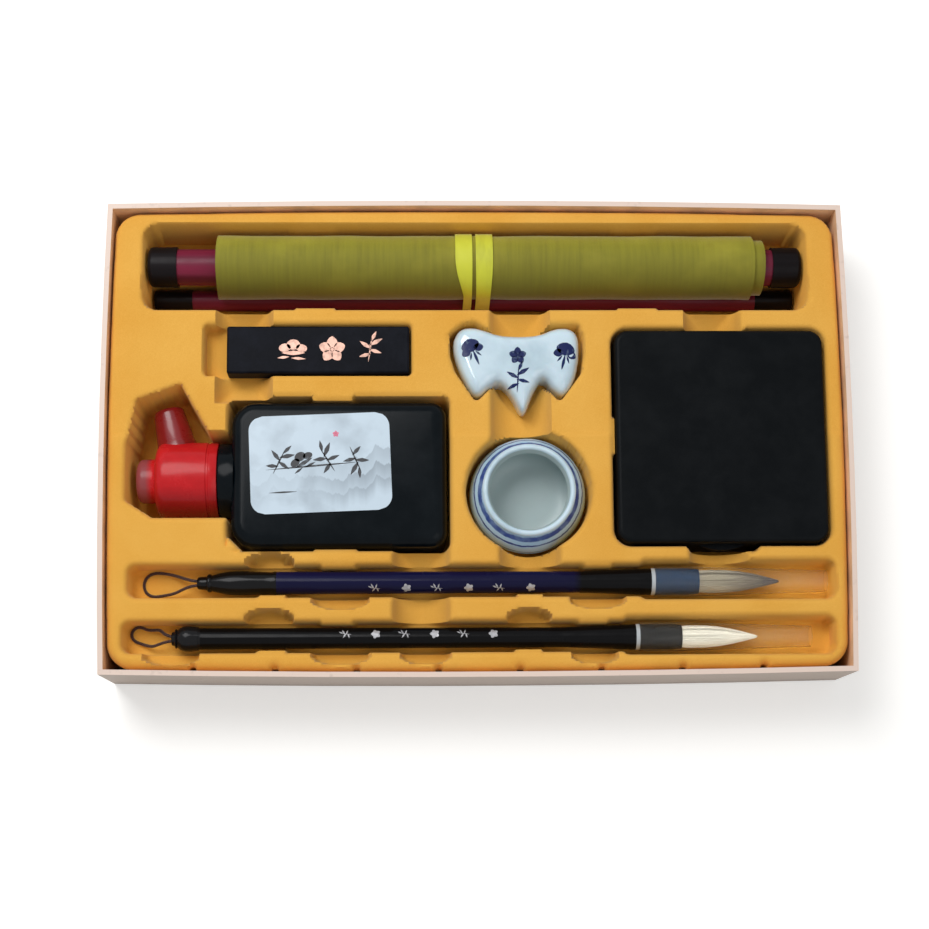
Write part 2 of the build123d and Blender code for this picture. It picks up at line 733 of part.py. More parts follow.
# ================================================================ water cup
cup_belly_height = cup_height * cup_belly_share
cup_shoulder_height = cup_height * cup_shoulder_share
with BuildPart() as water_cup:
    with BuildSketch(Plane(origin=(cup_x, cup_y, cup_z), x_dir=(1, 0, 0), z_dir=(0, -1, 0))) as section:
        with BuildLine():
            foot_inner = cup_foot_radius - cup_wall
            Polyline((0, cup_foot_height), (foot_inner, cup_foot_height), (foot_inner, 0),
                     (cup_foot_radius, 0))
            ThreePointArc((cup_foot_radius, 0), (cup_belly_radius, cup_belly_height),
                          (cup_neck_radius, cup_shoulder_height))
            Polyline((cup_neck_radius, cup_shoulder_height), (cup_lip_radius, cup_height),
                     (cup_mouth_radius, cup_height), (cup_neck_radius - cup_wall, cup_shoulder_height))
            ThreePointArc((cup_neck_radius - cup_wall, cup_shoulder_height),
                          (cup_belly_radius - cup_wall, cup_belly_height),
                          (foot_inner, cup_foot_height + cup_wall))
            Polyline((foot_inner, cup_foot_height + cup_wall), (0, cup_foot_height + cup_wall),
                     (0, cup_foot_height))
        make_face()
    revolve(axis=Axis((cup_x, cup_y, cup_z), (0, 0, 1)))
save(water_cup, "water_cup")

# ================================================================ ink bottle
bottle_right = bottle_left + bottle_length


def bottle_form(inset):
    """The bottle's block, inset from its outer face, with round shoulders, base corners and edges."""
    half_width = bottle_width / 2 - inset
    left = bottle_left + inset
    right = bottle_right - inset
    with BuildPart() as form:
        with BuildSketch(Plane.XY.offset(bottle_z - bottle_thickness / 2 + inset)) as plan:
            with BuildLine():
                Polyline((left, bottle_y - half_width), (right, bottle_y - half_width),
                         (right, bottle_y + half_width), (left, bottle_y + half_width), close=True)
            make_face()
            fillet(plan.vertices().sort_by(Axis.X)[:2], bottle_shoulder - inset)
            fillet(plan.vertices().sort_by(Axis.X)[-2:], bottle_base_corner - inset)
        extrude(amount=bottle_thickness - 2 * inset)
        fillet(form.faces().filter_by(Axis.Z).edges(), bottle_edge - inset)
    return form.part


neck_left = bottle_left - collar_length - neck_length
with BuildPart() as bottle_body:
    add(bottle_form(0))
    along_x(bottle_left - collar_length, bottle_y, bottle_z, collar_diameter / 2, collar_length + bottle_edge)
    along_x(neck_left, bottle_y, bottle_z, neck_diameter / 2, neck_length)
    add(bottle_form(bottle_wall), mode=Mode.SUBTRACT)
    along_x(neck_left, bottle_y, bottle_z, neck_bore_diameter / 2,
            neck_length + collar_length + 2 * bottle_wall, Mode.SUBTRACT)
save(bottle_body, "bottle_body")

with BuildPart() as bottle_plug:
    along_x(neck_left, bottle_y, bottle_z, neck_bore_diameter / 2 - glue_gap, plug_length)
save(bottle_plug, "bottle_plug")

label_x = bottle_x + label_from_middle
label_y = bottle_y + label_rise
with BuildPart() as bottle_label:
    with BuildSketch(Plane.XY.offset(bottle_z + bottle_thickness / 2)):
        with Locations(Location((label_x, label_y), label_tilt)):
            RectangleRounded(label_length, label_height, label_corner)
    extrude(amount=label_thickness)
save(bottle_label, "bottle_label")

neck_room = neck_length + cap_clearance
with BuildPart() as cap_body:
    along_x(cap_left, bottle_y, bottle_z, cap_diameter / 2, cap_length)
    fillet(cap_body.faces().sort_by(Axis.X)[0].edges(), cap_edge)
    along_x(cap_left - knob_length, bottle_y, bottle_z, knob_diameter / 2, knob_length + cap_edge)
    fillet(cap_body.faces().sort_by(Axis.X)[0].edges(), knob_edge)
    along_x(cap_right - neck_room, bottle_y, bottle_z, neck_diameter / 2 + cap_clearance,
            neck_room, Mode.SUBTRACT)
save(cap_body, "cap_body")

spout_axis = Plane(origin=(spout_x, bottle_y, bottle_z), x_dir=(0, 0, 1),
                   z_dir=(-sin(radians(spout_lean)), cos(radians(spout_lean)), 0))
with BuildPart() as cap_spout:
    with BuildSketch(spout_axis.offset(spout_root)):
        Circle(spout_base_diameter / 2)
    with BuildSketch(spout_axis.offset(spout_reach)):
        Circle(spout_end_diameter / 2)
    loft()
    fillet(cap_spout.faces().sort_by(Axis.Y)[-1].edges(), spout_edge)
    along_x(cap_left - knob_length, bottle_y, bottle_z, cap_diameter / 2,
            cap_length + 2 * knob_length, Mode.SUBTRACT)
save(cap_spout, "cap_spout")

# ================================================================ inkstone in its case
def case_block(bottom, height, inset, corner, mode=Mode.ADD):
    with BuildSketch(Plane.XY.offset(bottom)) as outline:
        with Locations((case_x, block_y)):
            RectangleRounded(case_length - 2 * inset, case_width - 2 * inset, corner)
    extrude(outline.sketch, amount=height, mode=mode)


def lug(bottom, height):
    """The thumb lug on the front edge, a shallow arc seen from above."""
    front = block_y - case_width / 2
    with BuildSketch(Plane.XY.offset(bottom)) as outline:
        with BuildLine():
            ThreePointArc((case_x - lug_length / 2, front + case_wall), (case_x, front - lug_reach),
                          (case_x + lug_length / 2, front + case_wall))
            Line((case_x + lug_length / 2, front + case_wall), (case_x - lug_length / 2, front + case_wall))
        make_face()
    extrude(outline.sketch, amount=height)


case_inner_corner = case_corner - case_wall
lid_bottom = case_z + case_base_height + case_parting
with BuildPart() as inkstone_case:
    case_block(case_z, case_base_height, 0, case_corner)
    chamfer(inkstone_case.faces().sort_by(Axis.Z)[0].edges(), case_foot_chamfer)
    lug(case_z + case_base_height - lug_height, lug_height)
    case_block(case_z + case_wall, case_base_height, case_wall, case_inner_corner, Mode.SUBTRACT)
save(inkstone_case, "inkstone_case")

with BuildPart() as inkstone_lid:
    case_block(lid_bottom, case_lid_height, 0, case_corner)
    fillet(inkstone_lid.faces().sort_by(Axis.Z)[-1].edges(), case_edge)
    lug(lid_bottom, lug_height)
    lip_inset = case_wall + lip_clearance
    case_block(lid_bottom - lip_height, lip_height, lip_inset, case_corner - lip_inset)
    lip_inner = lip_inset + lip_thickness
    case_block(lid_bottom - lip_height, lip_height + case_lid_height - case_wall, lip_inner,
               case_corner - lip_inner, Mode.SUBTRACT)
save(inkstone_lid, "inkstone_lid")

slab_inset = case_wall + slab_gap
slab_bottom = case_z + case_wall
slab_top = slab_bottom + slab_thickness
with BuildPart() as inkstone_slab:
    case_block(slab_bottom, slab_thickness, slab_inset, case_corner - slab_inset)
    with BuildSketch(Plane.XY.offset(slab_top - well_depth)) as well:
        with Locations((case_x, block_y)):
            Circle(well_diameter / 2)
    extrude(well.sketch, amount=well_depth, mode=Mode.SUBTRACT)
    with BuildSketch(Plane.XY.offset(slab_top - well_depth - pool_extra_depth)) as pool:
        with Locations((case_x, block_y + pool_from_middle)):
            Circle(pool_diameter / 2)
    extrude(pool.sketch, amount=pool_extra_depth, mode=Mode.SUBTRACT)
save(inkstone_slab, "inkstone_slab")


# ================================================================ brushes
def turned(axis_y, axis_z, stations, mode=Mode.ADD):
    """A turned bar along X through (x, radius) stations."""
    with BuildSketch(Plane(origin=(0, axis_y, axis_z), x_dir=(1, 0, 0), z_dir=(0, -1, 0))) as half:
        with BuildLine():
            Polyline((stations[0][0], 0), *stations, (stations[-1][0], 0), close=True)
        make_face()
    revolve(half.sketch, axis=Axis((0, axis_y, axis_z), (1, 0, 0)), mode=mode)


def strand(start, axis_y, axis_z, across, up, brush):
    """One hair: four flat sides at each station, drawn in towards the brush's tip."""
    half = strand_width / 2
    rings = []
    for share, scale in hair_stations:
        x = start + share * brush.hair
        corners = [(across - half, up - half), (across + half, up - half),
                   (across + half, up + half), (across - half, up + half)]
        rings.append([Vector(x, axis_y + scale * y, axis_z + scale * z) for y, z in corners])
    faces = [Face(Wire.make_polygon(rings[0])), Face(Wire.make_polygon(rings[-1]))]
    for near, far in zip(rings, rings[1:]):
        for side in range(len(near)):
            following = (side + 1) % len(near)
            around = [near[side], near[following], far[following], far[side]]
            faces.append(Face(Wire.make_polygon(around)))
    return Solid(Shell(faces))


def hair(brush, start, axis_y, axis_z):
    """The hair: a grid of strands inside a circle, joined at a slice of their backing."""
    reach = brush.hair_radius - strand_width
    steps = int(reach / strand_pitch) + 1
    strands = []
    for i in range(-steps, steps + 1):
        for j in range(-steps, steps + 1):
            across = i * strand_pitch
            up = j * strand_pitch
            if across ** 2 + up ** 2 <= reach ** 2:
                strands.append(strand(start, axis_y, axis_z, across, up, brush))
    print(brush.name, "strands", len(strands))
    with BuildPart() as tuft:
        along_x(start - hair_backing, axis_y, axis_z, brush.hair_radius, hair_backing)
        add(strands)
    save(tuft, f"{brush.name}_hair")


def loop_cord(brush, points, tail_x, axis_y, axis_z):
    """The hanging loop: straight runs joined by arcs, from the tail and back to it."""
    corners = [Vector(tail_x + x, axis_y + y, axis_z + z) for x, y, z in points]
    runs = [b - a for a, b in zip(corners, corners[1:])]
    radii = []
    for before, after in zip(runs, runs[1:]):
        turn = radians(before.get_angle(after))
        radii.append(bend_share * min(before.length, after.length) / tan(turn / 2))
    print(brush.name, "loop radii", [round(r, 2) for r in radii])
    with BuildPart() as loop:
        with BuildLine() as route:
            FilletPolyline(*corners, radius=radii)
        with BuildSketch(Plane(origin=corners[0], z_dir=runs[0])) as section:
            Circle(cord_diameter / 2)
        sweep(section.sketch, path=route.wires()[0])
    length = route.wires()[0].length
    section_area = pi * (cord_diameter / 2) ** 2
    print(brush.name, "loop length", round(length, 1), "volume ratio",
          round(loop.part.volume / (section_area * length), 4))
    save(loop, f"{brush.name}_loop")


def make_brush(brush, shift, axis_y, loop_points):
    """All the pieces of one brush, laid along X in its pocket."""
    axis_z = tray_top - brush_below - brush.sleeve_radius()
    tail_x = shift - brush.pocket_length() / 2 + brush.loop_room
    shaft_x = tail_x + brush.tail
    ring_x = shaft_x + brush.shaft
    ferrule_x = ring_x + ring_length
    hair_x = ferrule_x + brush.ferrule
    tip_x = hair_x + brush.hair
    sleeve_end = tip_x + brush.sleeve_beyond
    tail_neck_radius = brush.tail_end_radius * tail_neck_scale
    with BuildPart() as tail:
        turned(axis_y, axis_z, [(tail_x, brush.tail_end_radius),
                                (tail_x + brush.tail * tail_neck_share, tail_neck_radius),
                                (tail_x + brush.tail * tail_wide_from, brush.tail_radius),
                                (tail_x + brush.tail * tail_wide_to, brush.tail_radius),
                                (shaft_x, brush.shaft_radius)])
        along_x(tail_x, axis_y, axis_z, cord_hole_diameter / 2, cord_hole_depth, Mode.SUBTRACT)
    save(tail, f"{brush.name}_tail")
    loop_cord(brush, loop_points, tail_x + cord_hole_depth, axis_y, axis_z)
    with BuildPart() as shaft:
        turned(axis_y, axis_z, [(shaft_x, brush.shaft_radius),
                                (ring_x - flare_length, brush.shaft_radius * flare_waist_scale),
                                (ring_x, brush.ferrule_radius)])
    save(shaft, f"{brush.name}_shaft")
    with BuildPart() as ring:
        along_x(ring_x, axis_y, axis_z, brush.ferrule_radius, ring_length)
    save(ring, f"{brush.name}_ring")
    with BuildPart() as ferrule:
        turned(axis_y, axis_z, [(ferrule_x, brush.ferrule_radius),
                                (ferrule_x + brush.ferrule * ferrule_straight_share, brush.ferrule_radius),
                                (hair_x, brush.hair_radius + ferrule_lip)])
        along_x(hair_x - hair_backing, axis_y, axis_z, brush.hair_radius, hair_backing, Mode.SUBTRACT)
    save(ferrule, f"{brush.name}_ferrule")
    hair(brush, hair_x, axis_y, axis_z)
    inner = brush.ferrule_radius + sleeve_gap
    inner_end = brush.sleeve_end_radius - sleeve_wall
    with BuildPart() as sleeve:
        turned(axis_y, axis_z, [(ferrule_x, inner + sleeve_wall), (hair_x, inner + sleeve_wall),
                                (sleeve_end, brush.sleeve_end_radius)])
        turned(axis_y, axis_z, [(ferrule_x, inner), (hair_x, inner), (sleeve_end, inner_end)], Mode.SUBTRACT)
    save(sleeve, f"{brush.name}_sleeve")


make_brush(large, large_row_shift, large_y, large_loop)
make_brush(small, small_row_shift, small_y, small_loop)
print("box", round(box_length, 1), round(box_width, 1), round(box_height, 1))
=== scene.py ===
"""Looks of the calligraphy set box: a formed, flocked tray in an open card box, with a
rolled hanging scroll, an ink stick, a brush rest, a water cup, an ink bottle, an
inkstone in its case and two brushes in clear sleeves.

Metres, +Z up, +X along the box's long side, +Y towards its rear, where the scroll lies.
The pieces' own numbers are millimetres until they go into a mesh."""
import math
import random

import bpy
import numpy as np
from bpy.props import FloatProperty, FloatVectorProperty, PointerProperty
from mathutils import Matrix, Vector


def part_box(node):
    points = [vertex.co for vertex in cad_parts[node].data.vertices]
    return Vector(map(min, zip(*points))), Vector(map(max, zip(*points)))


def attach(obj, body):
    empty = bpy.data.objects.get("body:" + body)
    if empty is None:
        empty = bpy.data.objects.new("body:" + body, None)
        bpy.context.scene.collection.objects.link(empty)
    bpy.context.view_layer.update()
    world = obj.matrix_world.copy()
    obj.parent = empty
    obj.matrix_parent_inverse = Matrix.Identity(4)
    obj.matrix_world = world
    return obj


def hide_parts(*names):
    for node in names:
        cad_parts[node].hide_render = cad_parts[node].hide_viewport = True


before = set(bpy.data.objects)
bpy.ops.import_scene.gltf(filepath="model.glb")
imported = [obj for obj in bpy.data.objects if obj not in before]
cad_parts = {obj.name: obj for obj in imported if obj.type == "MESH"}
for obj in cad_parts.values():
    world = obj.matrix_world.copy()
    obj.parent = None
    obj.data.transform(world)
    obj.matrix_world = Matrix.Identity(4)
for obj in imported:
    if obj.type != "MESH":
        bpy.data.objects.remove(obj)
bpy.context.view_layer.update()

bl_info = {
    "name": "Calligraphy set box",
    "version": (1, 0, 0),
    "blender": (4, 5, 0),
    "location": "View3D > Sidebar > Set box",
    "description": "Builds a calligraphy set box piece by piece round its packed frame",
    "category": "Add Mesh",
}

MM = 0.001
WELD = 0.01 * MM


# ---------------------------------------------------------------- properties
def linear(level):
    """One channel of a screen colour, 0 to 255, as light."""
    share = level / 255
    return share / 12.92 if share <= 0.04045 else ((share + 0.055) / 1.055) ** 2.4


def paint(red, green, blue):
    return (linear(red), linear(green), linear(blue), 1.0)


def tint(name, description, red, green, blue):
    return FloatVectorProperty(name=name, description=description, subtype="COLOR", size=4,
                               min=0.0, max=1.0, default=paint(red, green, blue))


def size(name, description, millimetres):
    return FloatProperty(name=name, description=description, unit="LENGTH", min=0.0,
                         default=millimetres * MM)


class StageLook(bpy.types.PropertyGroup):
    floor: tint("Floor", "Colour of the floor", 244, 243, 240)
    camera_place: FloatVectorProperty(name="Camera place", description="Where the camera stands",
                                      subtype="XYZ", unit="LENGTH", default=(-0.029, -0.198, 0.881))
    camera_turn: FloatVectorProperty(name="Camera turn", description="How the camera is turned",
                                     subtype="EULER", unit="ROTATION",
                                     default=[math.radians(a) for a in (8.281, -1.437, -0.436)])
    lens: FloatProperty(name="Lens", description="Focal length in millimetres", default=67.74)
    lens_rise: FloatProperty(name="Lens rise", description="Upward shift of the lens", default=0.1351)
    key_light: FloatProperty(name="Key light", description="Power of the large lamp", unit="POWER",
                             default=10.6)
    sky_light: FloatProperty(name="Sky light", description="Strength of the even light", default=0.36)
    floor_glow: FloatProperty(name="Floor glow", description="How much the floor glows where it is seen",
                              default=0.36)


class BoxLook(bpy.types.PropertyGroup):
    wrap: tint("Wrap", "Covering paper on the rim", 234, 212, 198)
    # painted shade: the outer faces are darker than the rim
    wrap_side: tint("Side wrap", "Covering paper outside", 186, 168, 154)
    # painted shade towards the foot, also the colour of a few worn spots
    wrap_shade_and_wear: tint("Worn wrap", "Scuffed covering paper", 122, 104, 92)
    # the lining's tan paper, made lighter as painted light in the shaded gap round the tray
    lining: tint("Lining", "Lining paper inside", 250, 212, 172)
    board: tint("Board", "Greyboard", 150, 144, 134)
    rim_height: size("Rim height", "Height at which the walls' rim starts to turn in", 48.1)


class TrayLook(bpy.types.PropertyGroup):
    flock: tint("Flock", "Colour of the flocking", 242, 186, 88)
    flock_deep: tint("Flock shade", "Colour between the flocking's tufts", 226, 162, 62)
    pitch: size("Grid pitch", "Spacing of the sheet's grid", 1.1)
    sheet: size("Sheet", "Thickness of the formed sheet with its flocking", 1.0)
    edge_round: size("Edge round", "Rounding where a pocket meets the face", 2.2)
    floor_round: size("Floor round", "Rounding where a pocket's wall meets its floor", 1.2)
    draft: size("Draft", "How far a pocket's wall leans back", 0.6)
    outer_round: size("Outer round", "Rounding of the tray's outer edge", 4.5)


class ScrollLook(bpy.types.PropertyGroup):
    silk: tint("Silk", "Mounting silk", 146, 142, 36)
    # the silk's shade is also painted shade on the roll's front, and its light a painted highlight on the
    # rear
    silk_shade: tint("Silk shade", "Silk between its threads", 92, 84, 22)
    silk_light: tint("Silk light", "Silk where it catches light", 184, 176, 56)
    rod: tint("Rod", "Plum lacquer of the rods", 122, 34, 60)
    rod_shade: tint("Rod shade", "Dark streaks in the plum lacquer", 84, 22, 42)
    cap: tint("Rod cap", "Black lacquer of the rods' caps", 14, 10, 12)
    ribbon: tint("Ribbon", "Tie ribbon", 212, 214, 52)
    turn_pitch: size("Turn pitch", "Spacing of the roll's turns", 0.56)
    silk_thickness: size("Silk thickness", "Thickness of the mounted paper", 0.4)


class InkLook(bpy.types.PropertyGroup):
    stick: tint("Ink stick", "Pressed ink", 6, 8, 16)
    gilding: tint("Gilding", "Gold on the ink stick's ornaments", 190, 150, 134)
    stone: tint("Inkstone", "Slate of the inkstone", 52, 54, 60)
    case: tint("Case", "Black plastic of the inkstone's case", 5, 8, 11)


class PorcelainLook(bpy.types.PropertyGroup):
    glaze: tint("Glaze", "Pale glaze", 206, 228, 240)
    glaze_pool: tint("Pooled glaze", "Glaze where it lies thick", 170, 196, 210)
    cobalt: tint("Cobalt", "Blue brushwork under the glaze", 18, 32, 84)
    ring_blue: tint("Ring blue", "Blue rings of the cup", 28, 66, 142)
    cup_blue: tint("Cup outside", "Pale blue glaze outside the cup", 172, 210, 240)
    # painted shade: the cup's inside is drawn darker and grey-green
    inside: tint("Cup inside", "Grey-green glaze inside the cup", 172, 188, 186)


class BottleLook(bpy.types.PropertyGroup):
    plastic: tint("Bottle", "Dark plastic of the bottle", 5, 12, 17)
    plug: tint("Plug", "Pale plastic of the plug in the neck", 196, 200, 200)
    cap_shade: tint("Cap shade", "Cap where it is shaded", 120, 16, 22)
    # painted highlight: the knob's paler face
    knob: tint("Knob", "Pale face of the cap's knob", 148, 72, 76)
    cap: tint("Cap", "Red plastic of the cap", 190, 26, 32)
    label: tint("Label", "Label paper", 198, 216, 230)
    wash: tint("Wash", "Grey wash on the label", 132, 146, 158)
    brushwork: tint("Brushwork", "Dark ink on the label", 30, 32, 38)
    blossom: tint("Blossom", "Pink of the label's blossom", 236, 128, 156)


class BrushLook(bpy.types.PropertyGroup):
    navy: tint("Navy lacquer", "Lacquer on the large brush's shaft", 20, 20, 58)
    black: tint("Black lacquer", "Lacquer of the tails and the small brush", 9, 9, 11)
    ring: tint("Ring", "White ring before the ferrule", 172, 178, 182)
    horn_blue: tint("Large ferrule", "Blue horn of the large brush's ferrule", 22, 50, 84)
    horn_grey: tint("Small ferrule", "Dark horn of the small brush's ferrule", 8, 12, 18)
    grey_hair: tint("Grey hair", "Hair of the large brush near its ferrule", 172, 166, 152)
    dark_hair: tint("Dark hair", "Tip of the large brush", 62, 58, 68)
    white_hair: tint("White hair", "Hair of the small brush", 248, 249, 244)
    cord: tint("Cord", "Hanging cord", 62, 34, 30)
    silver: tint("Silver", "Silver print on the shafts", 172, 172, 176)
    sleeve: tint("Sleeve", "Clear plastic of the sleeves", 250, 247, 240)


# ---------------------------------------------------------------- finishes
class Finish:
    """A material whose pattern reads the piece's own Object coordinates."""

    def __init__(self, name, **values):
        self.material = bpy.data.materials.new(name)
        self.material.use_nodes = True
        self.nodes = self.material.node_tree.nodes
        self.links = self.material.node_tree.links
        self.shader = self.nodes["Principled BSDF"]
        self.place = self.nodes.new("ShaderNodeTexCoord").outputs["Object"]
        for socket, value in values.items():
            self.shader.inputs[socket.replace("_", " ")].default_value = value

    def node(self, kind, **inputs):
        node = self.nodes.new(kind)
        for socket, value in inputs.items():
            self.feed(node.inputs[socket.replace("_", " ")], value)
        return node

    def feed(self, socket, value):
        if isinstance(value, bpy.types.NodeSocket):
            self.links.new(value, socket)
        else:
            socket.default_value = value

    def moved(self, middle=(0, 0, 0), turn=(0, 0, 0), stretch=(1, 1, 1)):
        """Object coordinates from a middle, turned, then stretched."""
        shifted = self.node("ShaderNodeMapping", Vector=self.place, Location=[-c for c in middle])
        return self.node("ShaderNodeMapping", Vector=shifted.outputs[0], Rotation=turn,
                         Scale=stretch).outputs[0]

    def axes(self, vector=None):
        return self.node("ShaderNodeSeparateXYZ", Vector=vector or self.place).outputs

    def noise(self, scale, detail=3.0, vector=None, roughness=0.5):
        texture = self.node("ShaderNodeTexNoise", Vector=vector or self.place, Scale=scale,
                            Detail=detail, Roughness=roughness)
        return texture.outputs["Fac"]

    def calculate(self, operation, first, second=0.0):
        node = self.nodes.new("ShaderNodeMath")
        node.operation = operation
        self.feed(node.inputs[0], first)
        self.feed(node.inputs[1], second)
        return node.outputs[0]

    def product(self, first, second):
        return self.calculate("MULTIPLY", first, second)

    def sine(self, place, rate):
        return self.calculate("SINE", self.product(place, rate))

    def hypotenuse(self, first, second):
        return self.calculate("SQRT", self.calculate("ADD", self.product(first, first),
                                                     self.product(second, second)))

    def spread(self, value, low, high, low_out=0.0, high_out=1.0):
        """A value between low and high, as a share, held at both ends."""
        return self.node("ShaderNodeMapRange", Value=value, From_Min=low, From_Max=high,
                         To_Min=low_out, To_Max=high_out).outputs[0]

    def blend(self, share, first, second):
        node = self.nodes.new("ShaderNodeMix")
        node.data_type = "RGBA"
        self.feed(node.inputs["Factor"], share)
        self.feed(node.inputs[6], first)
        self.feed(node.inputs[7], second)
        return node.outputs[2]

    def colour(self, socket):
        self.links.new(socket, self.shader.inputs["Base Color"])
        return self

    def rough(self, value, low, high):
        self.links.new(self.spread(value, 0.3, 0.7, low, high), self.shader.inputs["Roughness"])
        return self

    def bump(self, height, depth, strength=1.0):
        """Relief of a given depth in millimetres."""
        node = self.node("ShaderNodeBump", Height=height, Strength=strength, Distance=depth * MM)
        normal = self.shader.inputs["Normal"]
        if normal.is_linked:
            self.links.new(normal.links[0].from_socket, node.inputs["Normal"])
        self.links.new(node.outputs[0], normal)
        return self


def scaled(colour, share, lift=0.0):
    """A colour taken lighter or darker by a share, then lifted evenly."""
    return [min(1.0, c * share + lift) for c in colour[:3]] + [1.0]


def flocking(look):
    skin = Finish("flocked_sheet", Roughness=0.95, Sheen_Weight=0.12, Sheen_Roughness=0.5,
                  Specular_IOR_Level=0.1)
    tufts = skin.noise(2600, 2)
    patches = skin.noise(28, 4)
    shade = skin.calculate("ADD", skin.spread(tufts, 0.25, 0.75, 0, 0.6),
                           skin.spread(patches, 0.35, 0.7, 0, 0.4))
    skin.colour(skin.blend(shade, look.flock, look.flock_deep))
    return skin.bump(tufts, 0.16, 0.6).bump(patches, 0.5, 0.3).material


def covering_paper(look):
    """Paper with painted shade below the rim and painted shade towards the foot, broken by scuffs, with a
    few worn spots.
    """
    paper = Finish("cover_paper", Roughness=0.62, Coat_Weight=0.12, Coat_Roughness=0.3)
    grain = paper.noise(900, 3, paper.moved(stretch=(1, 1, 2.5)))
    scuffs = paper.noise(70, 5, roughness=0.65)
    height = paper.axes()["Z"]
    on_rim = paper.spread(height, look.rim_height - 0.6 * MM, look.rim_height)
    shaded = paper.blend(on_rim, look.wrap_side, look.wrap)
    # painted shade: darker towards the foot, broken by the scuffs' noise
    foot = paper.spread(height, 0.0, 12 * MM, 0.8, 0.0)
    foot_shade = paper.product(paper.spread(scuffs, 0.35, 0.62, 0.45, 1.0), foot)
    spots = paper.product(paper.spread(paper.noise(220, 4), 0.62, 0.75), 0.2)
    paper.colour(paper.blend(paper.calculate("MAXIMUM", foot_shade, spots), shaded, look.wrap_shade_and_wear))
    return paper.bump(grain, 0.05, 0.5).bump(scuffs, 0.15, 0.2).material


def plain_paper(name, colour, worn):
    paper = Finish(name, Roughness=0.8)
    paper.colour(paper.blend(paper.spread(paper.noise(60, 5), 0.4, 0.7), colour, worn))
    return paper.bump(paper.noise(700, 4), 0.06, 0.5).material


def mounting_silk(look, middle):
    """Woven silk round an axis, with random lighter patches, a painted highlight to the rear and painted
    shade to the front.
    """
    silk = Finish("scroll_silk", Roughness=0.62, Sheen_Weight=0.5, Sheen_Roughness=0.35,
                  Specular_IOR_Level=0.3)
    along, across, up = silk.axes(silk.moved(middle))
    weave = silk.product(silk.sine(along, 2 * math.pi / (0.42 * MM)),
                         silk.sine(silk.calculate("ARCTAN2", across, up), 240))
    streaks = silk.noise(420, 4, silk.moved(stretch=(1, 0.06, 0.06)), 0.6)
    body = silk.blend(silk.spread(streaks, 0.35, 0.7, 0, 0.35), look.silk, look.silk_shade)
    body = silk.blend(silk.spread(silk.noise(30, 4), 0.5, 0.72, 0, 0.6), body, look.silk_light)
    body = silk.blend(silk.spread(weave, -1, 1, 0, 0.22), body, look.silk_shade)
    # painted shade: darker towards the roll's front
    body = silk.blend(silk.spread(across, -17 * MM, 6 * MM, 0.72, 0.0), body, look.silk_shade)
    # painted highlight: lighter towards the roll's rear
    body = silk.blend(silk.spread(across, 6 * MM, 17 * MM, 0.0, 0.6), body, look.silk_light)
    return silk.colour(body).bump(weave, 0.05, 0.5).bump(streaks, 0.12, 0.3).material


def lacquer(name, colour, shade, grain=60, rough=(0.3, 0.42), coat=0.02, shine=0.06):
    """Lacquer with fine streaks along X."""
    skin = Finish(name, Coat_Weight=coat, Coat_Roughness=0.12, Specular_IOR_Level=shine)
    streaks = skin.noise(grain, 5, skin.moved(stretch=(0.08, 1, 1)), 0.6)
    skin.colour(skin.blend(skin.spread(streaks, 0.4, 0.7), colour, shade))
    skin.rough(skin.noise(140, 4), *rough)
    return skin.bump(streaks, 0.05, 0.35).bump(skin.noise(900, 2), 0.02, 0.25).material


def ribbon_weave(look):
    ribbon = Finish("tie_ribbon", Roughness=0.55, Sheen_Weight=0.4, Sheen_Roughness=0.4)
    ribs = ribbon.sine(ribbon.axes()["X"], 2 * math.pi / (0.55 * MM))
    folds = ribbon.noise(160, 3, ribbon.moved(stretch=(1, 0.3, 0.3)))
    tone = ribbon.calculate("MAXIMUM", ribbon.spread(ribs, 0.2, 1, 0, 0.35),
                            ribbon.spread(folds, 0.5, 0.7, 0, 0.5))
    ribbon.colour(ribbon.blend(tone, look.ribbon, scaled(look.ribbon, 0.62)))
    return ribbon.bump(ribs, 0.05, 0.5).bump(folds, 0.2, 0.4).material


def pressed_ink(look):
    ink = Finish("ink_stick", Specular_IOR_Level=0.06)
    dust = ink.noise(45, 6, roughness=0.7)
    grey = scaled(look.stick, 2.6, 0.012)
    ink.colour(ink.blend(ink.spread(dust, 0.45, 0.75, 0, 0.7), look.stick, grey))
    ink.rough(dust, 0.38, 0.6)
    return ink.bump(ink.noise(700, 4), 0.04, 0.5).bump(dust, 0.15, 0.4).material


def gilding(name, colour, metal=0.55):
    gilt = Finish(name, Metallic=metal, Roughness=0.38)
    worn = gilt.noise(500, 4)
    gilt.colour(gilt.blend(gilt.spread(worn, 0.45, 0.7), colour, scaled(colour, 0.6)))
    return gilt.bump(worn, 0.05, 0.6).material


def glazed(look, name="porcelain", coat=0.8, sharp=0.04):
    """Pale glaze that pools; returns its finish and colour."""
    glaze = Finish(name, Roughness=3 * sharp, Coat_Weight=coat, Coat_Roughness=sharp,
                   Subsurface_Weight=0.05, Subsurface_Scale=0.002)
    pools = glaze.spread(glaze.noise(70, 4), 0.4, 0.75, 0, 0.8)
    glaze.bump(glaze.noise(240, 3), 0.05, 0.35)
    return glaze, glaze.blend(pools, look.glaze, look.glaze_pool)


